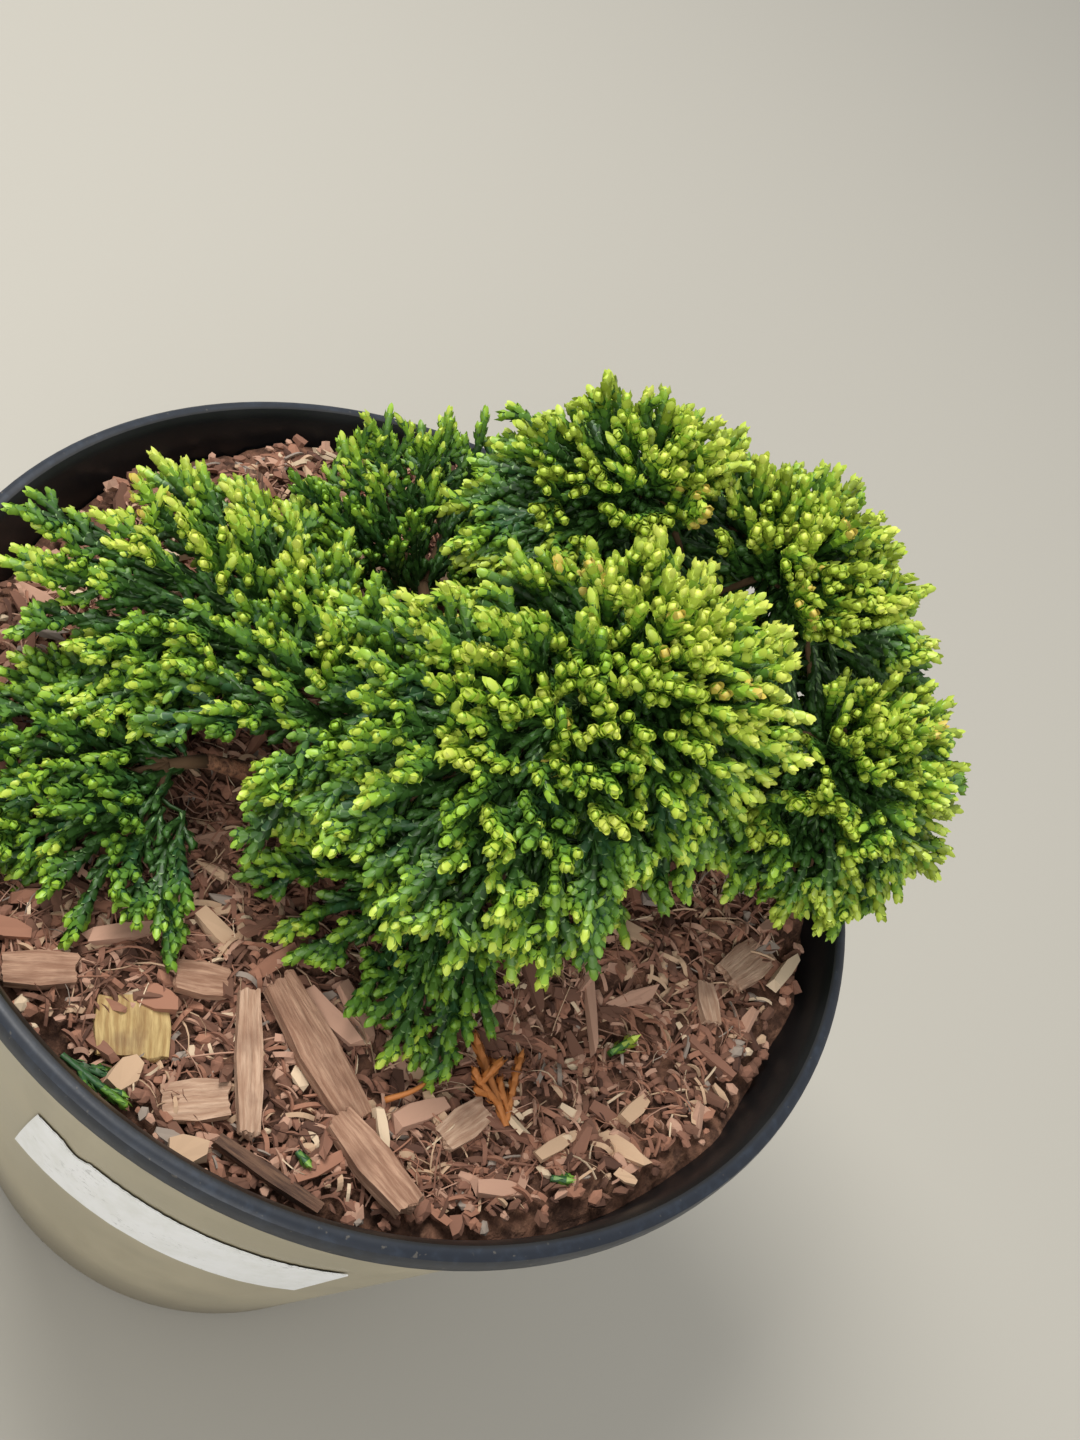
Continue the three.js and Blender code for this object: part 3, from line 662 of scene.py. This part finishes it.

# Foliage: twelve masses of scale-leaved shoots, each mass a cupped sheet, a whole dome or a fan.
# Rows of sprays leave the heart at even steps, each spray a flat comb of shoots with overlapping
# scale leaves, yellow at the tips and blue-green inside, carried on ribs and fine twigs. Over these
# own colours, light and shade are painted: each spray is dealt a lighter or darker palette by how it
# faces, how high it stands and how deep in the mass it lies.
# Each row of MASSES gives the end of its bough, its heart, the bearing of its spine, its spread to
# either side, its reach, width, droop and thickness, and the bearing and angle of its lean.
MASSES = [
    ("foliage_centre_back", (15, 4, 149), (22, 11, 167), 65, 180, 36, 26, 21, 15, (-25, 8)),
    ("foliage_centre_front", (10, -12, 149), (14, -4, 163), 243, 64, 40, 34, 15, 9, (250, 12)),
    ("foliage_front", (21, -12, 127), (16, -15, 133), 224, 70, 34, 28, 8, 6, (250, 22)),
    ("foliage_front_left", (-9, -11, 134), (-8, -9, 145), 200, 58, 33, 27, 8, 8, (200, 8)),
    ("foliage_left", (-20, 5, 128), (-21, -1, 136), 193, 74, 50, 27, 12, 9, (150, -14)),
    ("foliage_left_low", (-26, -22, 120), (-28, -25, 124), 226, 70, 31, 27, 4, 6, (240, 12)),
    ("foliage_back_left", (-14, 24, 126), (-15, 25, 128), 136, 66, 28, 25, 3, 6, (-48, 46)),
    ("foliage_back", (-1, 34, 153), (3, 45, 168), 40, 180, 26, 22, 22, 13, (100, 6)),
    ("foliage_back_right", (29, 41, 150), (30, 52, 166), 10, 180, 32, 27, 22, 13, (60, 4)),
    ("foliage_right", (43, 29, 137), (55, 36, 154), 70, 180, 28, 24, 13, 12, (-14, 12)),
    ("foliage_right_low", (19, 2, 122), (20, 4, 128), 355, 84, 18, 17, 6, 6, (10, 8)),
    ("foliage_back_low", (13, 42, 122), (14, 38, 132), 60, 100, 34, 33, 7, 6, (60, 2)),
]


class Mass:
    """A cupped sheet of foliage: its directions, its points and the space that is its own."""

    def __init__(self, name, start, heart, spine, spread, reach, width, droop, thick, face):
        self.name, self.start, self.heart = name, Vector(start), Vector(heart)
        self.spread, self.reach, self.width = math.radians(spread), reach, width
        self.droop, self.thick = droop, thick
        bearing, lean = map(math.radians, face)
        level = Vector((-math.sin(bearing), math.cos(bearing), 0))
        self.up = Matrix.Rotation(lean, 3, level) @ Vector((0, 0, 1))
        ahead = Vector((math.cos(math.radians(spine)), math.sin(math.radians(spine)), 0))
        self.ahead = (ahead - self.up * ahead.dot(self.up)).normalized()
        self.aside = self.up.cross(self.ahead)
        self.whole = spread >= 180

    def at(self, x, y, below):
        """The point x ahead and y aside of the heart, this far below the top of the sheet."""
        sag = self.droop * ((x / self.reach) ** 2 + (y / self.width) ** 2)
        return self.heart + self.ahead * x + self.aside * y - self.up * (below + sag)

    def rim(self, turn):
        """How far the sheet reaches from its heart towards this side."""
        return self.reach * self.width / math.hypot(self.width * math.cos(turn), self.reach * math.sin(turn))

    def outwards(self, turn, v):
        """The way down the sheet at this side, v being 0 at the heart and 1 at the rim."""
        run = self.rim(turn)
        slope = self.ahead * (run * math.cos(turn)) + self.aside * (run * math.sin(turn))
        return (slope - self.up * (2 * self.droop * v)).normalized()

    def own_distance(self, spot):
        """How far this place is from the space of this mass, below 0 inside it."""
        middle = self.at(0 if self.whole else 0.5 * self.reach, 0, self.thick / 2)
        off = spot - middle
        halves = (
            self.reach * (1 if self.whole else 0.55),
            self.width * (1 if self.whole else 0.8),
            (self.droop + self.thick) / 2,
        )
        parts = (off.dot(self.ahead), off.dot(self.aside), off.dot(self.up))
        share = math.sqrt(sum((part / half) ** 2 for part, half in zip(parts, halves)))
        return off.length * (1 - 1 / max(share, 0.001))


# A leaf is a small plate on the shoot: each corner's angle, its radius and its height in leaf lengths
LEAF_STEP, LEAF_LENGTH = 1.0, 1.9
FINE_LEAF = [
    (-56, 0.72, 0.00), (56, 0.72, 0.00), (-62, 0.86, 0.50), (62, 0.86, 0.50), (0, 1.08, 0.42),
    (-32, 1.06, 0.84), (32, 1.06, 0.84), (0, 1.15, 1.00),
]
FINE_FACES = [(0, 1, 4), (0, 4, 2), (1, 3, 4), (2, 4, 5), (4, 3, 6), (4, 6, 5), (5, 6, 7)]
PLAIN_LEAF = [(-58, 0.84, 0.05), (58, 0.84, 0.05), (0, 1.04, 0.45), (0, 0.97, 1.00)]
PLAIN_FACES = [(0, 1, 2), (0, 2, 3), (2, 1, 3)]


def shoot(pairs, leaf, leaf_faces):
    """A straight shoot along z in opposite pairs of scale leaves, tones counted from its tip."""
    points, faces, tones = [], [], []
    length = (pairs + 0.9) * LEAF_STEP
    last_tone, bloom_tone = 9, 10

    def girth(z):
        near_tip = max(0.0, 1 - (length - z) / 1.5)
        return (0.8 + 0.2 * min(1, z / (0.6 * length))) * (1 - 0.42 * near_tip ** 2)

    for pair in range(pairs):
        order = pairs - 1 - pair
        flat = 1.08 if pair % 2 else 0.92
        for half in (0, 180):
            first = len(points)
            for angle, reach, rise in leaf:
                z = min((pair + rise * LEAF_LENGTH) * LEAF_STEP, length)
                turn = math.radians(angle + half + (90 if pair % 2 == 0 else 0))
                radius = reach * flat * girth(z)
                points.append((radius * math.cos(turn), radius * math.sin(turn), z))
            faces += [tuple(first + corner for corner in face) for face in leaf_faces]
            tone = min(order, last_tone)
            tones += [tone] * (len(leaf_faces) - 1)
            tones += [bloom_tone if order > 4 and (pair + half // 180) % 2 else max(0, tone - 1)]
    core = len(points)
    for z in (0.0, length * 0.6, length - 0.9):
        for corner in range(4):
            turn = math.pi * (corner + 0.5) / 2
            radius = 0.82 * girth(z)
            points.append((radius * math.cos(turn), radius * math.sin(turn), z))
    points.append((0, 0, length - 0.4))
    for corner in range(4):
        after = (corner + 1) % 4
        for low, tone in ((core, 6), (core + 4, 2)):
            faces.append((low + corner, low + after, low + 4 + after))
            faces.append((low + corner, low + 4 + after, low + 4 + corner))
            tones += [tone, tone]
        faces.append((core + 8 + corner, core + 8 + after, core + 12))
        tones.append(0)
    return np.array(points), np.array(faces), np.array(tones), length


FEWEST_PAIRS, MOST_PAIRS = 3, 16
PAIR_COUNTS = range(FEWEST_PAIRS, MOST_PAIRS + 1)
FINE_SHOOTS = {pairs: shoot(pairs, FINE_LEAF, FINE_FACES) for pairs in PAIR_COUNTS}
PLAIN_SHOOTS = {pairs: shoot(pairs, PLAIN_LEAF, PLAIN_FACES) for pairs in PAIR_COUNTS}
GREENS = [
    plain("leaf_cream", 212, 222, 98, 0.42),
    plain("leaf_yellow", 188, 208, 78, 0.42),
    plain("leaf_lime", 150, 188, 58, 0.42),
    plain("leaf_green", 116, 156, 48, 0.45),
    plain("leaf_mid", 86, 128, 44, 0.45),
    plain("leaf_deep", 58, 98, 36, 0.5),
    plain("leaf_dark", 38, 70, 22, 0.5),
    plain("leaf_blue", 46, 86, 46, 0.5),
    plain("leaf_bloom", 126, 158, 100, 0.6),
    plain("leaf_peach", 208, 188, 88, 0.45),
    plain("leaf_olive", 138, 158, 48, 0.45),
    plain("leaf_russet", 190, 118, 58, 0.6),
]
CREAM, YELLOW, LIME, GREEN, MID, DEEP, DARK, BLUE, BLOOM, PEACH, OLIVE, RUSSET = range(12)
# The colours of a shoot's leaves from its tip inwards; an eleventh, for old leaves, is added below.
# The yellow tips and deep green bases are the leaves' own colours, but on the plant the palettes are
# also lit and shaded copies of them: "sunny" and "bright" carry painted light, "green", "shade" and
# "inner" carry painted shade, and the darkest tones near a shoot's foot are partly painted shade.
PALETTES = {
    "sunny": [CREAM, YELLOW, YELLOW, LIME, GREEN, MID, MID, DEEP, DEEP, DARK],
    "bright": [YELLOW, YELLOW, LIME, GREEN, MID, MID, DEEP, DEEP, DARK, DARK],
    "tinted": [PEACH, YELLOW, LIME, GREEN, GREEN, MID, DEEP, DEEP, DARK, DARK],
    "olive": [YELLOW, OLIVE, OLIVE, GREEN, MID, MID, DEEP, DEEP, DARK, DARK],
    "fresh": [YELLOW, LIME, GREEN, MID, MID, DEEP, DEEP, DARK, DARK, DARK],
    "green": [LIME, GREEN, MID, MID, DEEP, DEEP, DARK, BLUE, DARK, DARK],
    "shade": [GREEN, MID, MID, DEEP, DEEP, BLUE, BLUE, DARK, DARK, DARK],
    "inner": [DEEP, DEEP, DEEP, DARK, DARK, BLUE, DARK, DARK, DARK, DARK],
    "dead": [RUSSET] * 10,
}
DULLER = {
    "sunny": "bright", "bright": "fresh", "tinted": "bright", "olive": "fresh",
    "fresh": "green", "green": "shade", "shade": "shade", "dead": "dead",
}
PALETTES = {name: np.array(tones + [BLOOM]) for name, tones in PALETTES.items()}
PALETTES["dead"][-1] = RUSSET


class Grower:
    """Collects the shoots of one mass and joins them into one mesh."""

    def __init__(self):
        self.points, self.faces, self.paints, self.count = [], [], [], 0

    def add(self, shoots, foot, direction, side, length, girth, bend, palette):
        """One shoot grown to this length, its flat side along side and its tip bent by bend."""
        pairs = min(max(round(length / LEAF_STEP - 0.9), FEWEST_PAIRS), MOST_PAIRS)
        points, faces, tones, full = shoots[pairs]
        side = (side - direction * side.dot(direction)).normalized()
        over = direction.cross(side)
        z = points[:, 2] * (length / full)
        placed = (
            np.array(foot)
            + np.outer(points[:, 0] * girth, side)
            + np.outer(points[:, 1] * girth * 0.92, over)
            + np.outer(z, direction)
            + np.outer(z ** 2 / length, bend)
        )
        self.points.append(placed)
        self.faces.append(faces + self.count)
        self.paints.append(PALETTES[palette][tones])
        self.count += len(points)


def comb(grower, roll, shoots, foot, direction, side, length, palette, branches, girth=1.0):
    """A spray: one main shoot with side shoots in one plane, the lower ones forked again."""
    girth = girth * roll.uniform(0.96, 1.12)
    bend = direction.cross(side) * roll.uniform(-0.12, 0.16) + side * roll.uniform(-0.12, 0.12)
    grower.add(shoots, foot, direction, side, length, girth, bend, palette)
    hand = roll.choice((-1, 1))
    for i in range(branches):
        hand = -hand
        share = 0.08 + (0.66 * i + 0.3 * roll.random()) / branches
        spread = math.radians(roll.uniform(34, 52))
        tilt = direction.cross(side) * roll.uniform(-0.4, 0.4)
        way = (direction * math.cos(spread) + side * (hand * math.sin(spread)) + tilt).normalized()
        start = foot + direction * (share * length) + bend * (share ** 2 * length)
        reach = max(3.4, length * (1 - share) * roll.uniform(0.6, 1.0))
        curl = side * (-0.28 * hand)
        grower.add(shoots, start, way, side, reach, girth * 0.94, curl, palette)
        if reach < 6 or palette == "inner":
            continue
        for part in (0.3, 0.58)[:1 + (reach > 8.5)]:
            spread = math.radians(roll.uniform(38, 56))
            out = (way * math.cos(spread) + side * (hand * math.sin(spread)) + tilt * 0.5).normalized()
            fork = start + way * (part * reach) + curl * (part ** 2 * reach)
            grower.add(shoots, fork, out, side, roll.uniform(3.4, 5.2), girth * 0.9, curl, DULLER[palette])
            hand = -hand


twig_bark = plain("twig_bark", 96, 72, 48, 0.9)
ROW_PITCH, COMB_PITCH, SPRAY_LENGTH = 4.5, 6.4, 13
# How much painted light (above 0) or painted shade (below 0) a mass's sprays get beyond what their facing
# and height give them
PAINTED_LIGHT_SHIFT = {
    "foliage_centre_back": 0.4, "foliage_centre_front": 0.1, "foliage_left": 0.65, "foliage_back": -0.3,
    "foliage_back_right": -0.15, "foliage_right": 0.1, "foliage_left_low": -0.5,
    "foliage_back_left": -0.9, "foliage_right_low": -0.5, "foliage_back_low": -0.7,
}
GIRTHS = {
    "foliage_centre_back": 1.04, "foliage_centre_front": 1.0, "foliage_front": 0.92,
    "foliage_front_left": 0.92, "foliage_left": 0.88, "foliage_left_low": 0.9,
    "foliage_back_left": 0.74,
}
# After the rows on its sheet a mass has one at the edge and up to three that hang below it. These
# give, from the edge down, a row's place from heart to rim, its rise, its depth and its spacing.
HANG_PLACES, HANG_RISES = (0.97, 0.97, 0.84, 0.5), (0, -0.7, -1.5, -2.0)
HANG_DEPTHS, HANG_SPACING = (0.5, 0.6, 0.8, 0.9), (1, 1.4, 1.4, 0.95)
EDGE_ROWS = {"foliage_centre_front": 2}
RISES = {"foliage_left": 0.6, "foliage_front_left": 0.9, "foliage_centre_front": 0.85}
# The open places between the masses, each a line from low to high with a radius
HOLLOWS = [
    ((-78, 15, 115), (-64.5, -16, 150), 7.0),
    ((-28, -21, 114), (-25, -33, 133), 6.0),
    ((-23, -26, 114), (-19.5, -39, 131), 5.2),
    ((-17, 38, 114), (-14, 9, 145), 5.5),
    ((-12, 29, 114), (-9, 0, 145), 4.5),
]


def in_hollow(spot):
    """Whether this place lies in one of the hollows."""
    for low, high, radius in HOLLOWS:
        low, run = Vector(low), Vector(high) - Vector(low)
        share = min(max((spot - low).dot(run) / run.length_squared, 0), 1)
        if (low + run * share - spot).length < radius:
            return True
    return False


# A spray is left out where its tip is this deep in another mass and deeper there than in its own
CROWDED = 5.5
RIM_TOP, WALL_CLEARANCE, SOIL_CLEARANCE = 123, 3.5, 1.5
OLIVE_MASSES = ("foliage_back", "foliage_back_right", "foliage_right")
masses = [Mass(*row) for row in MASSES]
for number, mass in enumerate(masses):
    roll = random.Random(101 + 17 * number)
    grower = Grower()
    twig_points, twig_faces, twig_paints = [], [], []

    def twig(path, radii, sides, paint):
        points, faces = tube(path, radii, sides)
        first = len(twig_points)
        twig_paints.extend([paint] * len(faces))
        twig_points.extend(points)
        twig_faces.extend(tuple(first + corner for corner in face) for face in faces)

    stem_end = mass.at(0 if mass.whole else 0.1 * mass.reach, 0, 0.6 * mass.thick)
    twig([mass.start, (mass.start + stem_end) / 2, stem_end], [1.2, 1.1, 0.9], 8, 0)
    rib_count = 4 if mass.whole else 5
    ribs = []
    for i in range(rib_count):
        if mass.whole:
            turn = (i + 0.5) / rib_count * 2 * math.pi
        else:
            turn = (i / (rib_count - 1) * 2 - 1) * 0.65 * mass.spread
        run = mass.rim(turn) * 0.75
        half = mass.at(0.5 * run * math.cos(turn), 0.5 * run * math.sin(turn), 0.8 * mass.thick)
        end = mass.at(run * math.cos(turn), run * math.sin(turn), 0.7 * mass.thick)
        rib = curve([stem_end, half, end], 8)
        ribs.append(rib)
        twig(rib, [0.8 - 0.06 * step for step in range(9)], 7, 0)

    others = [other for other in masses if other is not mass]
    rows = max(3, round(math.hypot(mass.width, mass.droop) / ROW_PITCH))
    span = min(mass.spread, math.pi)
    for row in range(rows + EDGE_ROWS.get(mass.name, 4 if mass.whole else 3)):
        hang = max(0, row - rows)
        v = HANG_PLACES[hang] if hang else max(0.06, (row / rows) ** 0.85)
        arc = 2 * span * v * math.sqrt(mass.reach * mass.width)
        count = max(2, round(arc / (COMB_PITCH * HANG_SPACING[hang])))
        for i in range(count):
            if mass.whole:
                turn = (i + 0.5 * (row % 2)) / count * 2 * math.pi
            else:
                turn = (i / (count - 1) * 2 - 1) * span
            turn += (roll.random() - 0.5) * 0.3 / max(1, 3 * v)
            out = mass.outwards(turn, v)
            lift = 1 if mass.whole else RISES.get(mass.name, 0.5)
            rise = HANG_RISES[hang] if hang else (1.15 * (1 - v) + 0.3) * lift
            direction = out * (0.25 + 0.75 * v) + mass.up * (rise + (roll.random() - 0.5) * 0.5)
            direction += out.cross(mass.up) * roll.gauss(0, 0.2)
            direction.normalize()
            length = SPRAY_LENGTH * (0.88 + 0.27 * roll.random())
            rim = mass.rim(turn) * v * 0.84
            below = HANG_DEPTHS[hang] * mass.thick
            foot = mass.at(rim * math.cos(turn), rim * math.sin(turn), below)
            foot -= out * (0.25 * length)
            tip = foot + direction * length
            own = mass.own_distance(tip)
            if any(other.own_distance(tip) < min(-CROWDED, own) for other in others):
                continue
            if in_hollow(tip) or in_hollow((foot + tip) / 2):
                continue
            from_wall = abs(math.hypot(tip.x, tip.y) - wall_radius(tip.z))
            near_wall = tip.z < RIM_TOP and from_wall < WALL_CLEARANCE
            if near_wall or tip.z < soil_height(tip.x, tip.y) + SOIL_CLEARANCE:
                continue
            across = out.cross(mass.up).normalized()
            lean = roll.gauss(0, 0.5)
            side = across * math.cos(lean) + direction.cross(across) * math.sin(lean)
            # Painted light and shade: a spray's palette follows how far it faces up and how high its tip
            # stands, plus its mass's painted shift.
            light = direction.z + (tip.z - 126) / 60 + roll.gauss(0, 0.22) + PAINTED_LIGHT_SHIFT.get(mass.name, 0)
            # Hanging rows get painted shade, more the lower they hang.
            if hang:
                light -= 0.25 + 0.3 * hang
            # A fan's inner rows get painted shade and its rim rows painted light.
            if not mass.whole:
                light += 1.5 * (v - 0.8)
            if light > 1.1:
                palette = roll.choice(("sunny", "sunny", "sunny", "bright", "bright", "tinted"))
            elif light > 0.7:
                palette = roll.choice(("sunny", "bright", "bright", "fresh", "fresh"))
            elif light > 0.3:
                palette = roll.choice(("bright", "fresh", "fresh", "green"))
            else:
                palette = roll.choice(("fresh", "green", "shade"))
            if mass.name in OLIVE_MASSES and roll.random() < 0.45:
                palette = "olive"
            girth = GIRTHS.get(mass.name, 0.96)
            branches = roll.choice((3, 4, 4, 5))
            shoots = PLAIN_SHOOTS if hang == 3 else FINE_SHOOTS
            comb(grower, roll, shoots, foot, direction, side, length, palette, branches, girth)

            # Inner combs fill the sheet towards the heart. Their dark "inner" palette is partly the older
            # foliage's own deep green and partly painted shade.
            inner = mass.rim(turn) * max(0.0, v - 0.42)
            start = mass.at(inner * math.cos(turn), inner * math.sin(turn), 0.75 * mass.thick)
            away = foot - start
            if away.length > 4:
                way, length = away.normalized(), away.length + 3
                comb(grower, roll, PLAIN_SHOOTS, start, way, across, length, "inner", 3)
            joint = min((spot for rib in ribs for spot in rib), key=lambda spot: (spot - start).length)
            twig([joint, (joint + start) / 2 - mass.up * 0.6, start, foot], [0.45, 0.4, 0.4, 0.3], 4, 1)

    piece = joined(
        f"{mass.name}_leaves", np.concatenate(grower.points), np.concatenate(grower.faces),
        np.concatenate(grower.paints), GREENS, smooth=True,
    )
    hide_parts(mass.name)
    twigs = joined(
        f"{mass.name}_twigs", twig_points, twig_faces, twig_paints, [twig_bark, GREENS[DARK]], smooth=True
    )

# Litter: splinters of wood and bark, a fallen green spray, bits of green and a dead orange-brown
# spray, all lying loose on the compost in front of the plant and to its right. A splinter's row is
# like that of a chip, with the number of its bark at the end.
SPLINTERS = [
    ((-6.5, -65.3), 6.6, 4.2, 1.6, 85, 8, 5), ((6.8, -69.2), 5.4, 4.6, 2.0, 39, -6, 5),
    ((27.3, -50.6), 7.4, 1.8, 1.6, -48, 5, 6), ((30.5, -44.6), 9.4, 4.0, 1.8, 60, 4, 4),
    ((-18.5, -46.2), 15.5, 3.0, 1.4, 52, 4, 4), ((-8.6, -38.6), 9.2, 3.4, 1.4, -9, 6, 5),
    ((68.6, 15.2), 9.4, 2.6, 1.6, 80, 5, 6), ((42.3, -10.2), 21, 1.8, 1.4, -56, 3, 4),
    ((43.2, 3.1), 8, 3.2, 1.6, 15, 6, 5), ((-9.6, -53.4), 6.5, 4.4, 1.6, 20, -8, 3),
    ((-33, -58), 8, 3.6, 1.6, 30, 8, 3), ((50, -36), 9, 2.6, 1.4, 66, 5, 5),
    ((58, -22), 8, 3.0, 1.6, 76, 4, 5), ((46, -47), 8.5, 3.0, 1.4, 34, 5, 4),
]
roll = random.Random(21)
points, corners, paints = [], [], []
for (x, y), length, width, thick, turn, tilt, paint in SPLINTERS:
    jag = np.array([[roll.uniform(0.8, 1.1) for _ in range(3)] for _ in range(len(block))])
    turned = Matrix.Rotation(math.radians(turn), 3, "Z") @ Matrix.Rotation(math.radians(tilt), 3, "Y")
    spot = np.array((x, y, soil_height(x, y) + 0.7 * thick + 0.5))
    points.append((block * jag * np.array((length, width, thick)) * 0.5) @ np.array(turned).T + spot)
    corners.append(block_faces + len(block) * len(paints))
    paints.append(paint)
laid = joined(
    "laid_splinters", np.concatenate(points), np.concatenate(corners),
    np.repeat(paints, len(block_faces)), barks,
)

grower = Grower()
FALLEN = [
    ((-15, -68.2, 108.6), (-2.5, -70.4, 110.6), "shade", 4, 0.8),
    ((19.0, -60.6, 111.2), (22.2, -61.5, 111.6), "shade", 0, 0.8),
    ((50.0, -17.6, 114.0), (52.4, -12.2, 114.6), "olive", 0, 1.0),
    ((51.6, -41.2, 113.0), (55.0, -39.8, 113.6), "shade", 1, 0.8),
    ((42.2, -38.1, 112.4), (30.4, -28.7, 113.8), "dead", 2, 0.85),
    ((41.8, -37.4, 112.6), (37.0, -26.6, 114.4), "dead", 1, 0.75),
]
for start, end, palette, branches, girth in FALLEN:
    foot, away = Vector(start), Vector(end) - Vector(start)
    side = Vector((0, 0, 1)).cross(away).normalized()
    way, length = away.normalized(), away.length
    comb(grower, roll, PLAIN_SHOOTS, foot, way, side, length, palette, branches, girth)
fallen = joined(
    "fallen_sprays", np.concatenate(grower.points), np.concatenate(grower.faces),
    np.concatenate(grower.paints), GREENS, smooth=True,
)

STRAND = [(25.2, -46, 111.6), (27.4, -43.6, 113.2), (28.8, -40.4, 113.4), (28.8, -36.9, 111.6)]
points, faces = tube(curve(STRAND, 16), [0.5 - 0.02 * i for i in range(17)], 6, 0.2, 3)
strand = joined("curled_strand", points, faces, [0] * len(faces), [GREENS[RUSSET]], smooth=True)
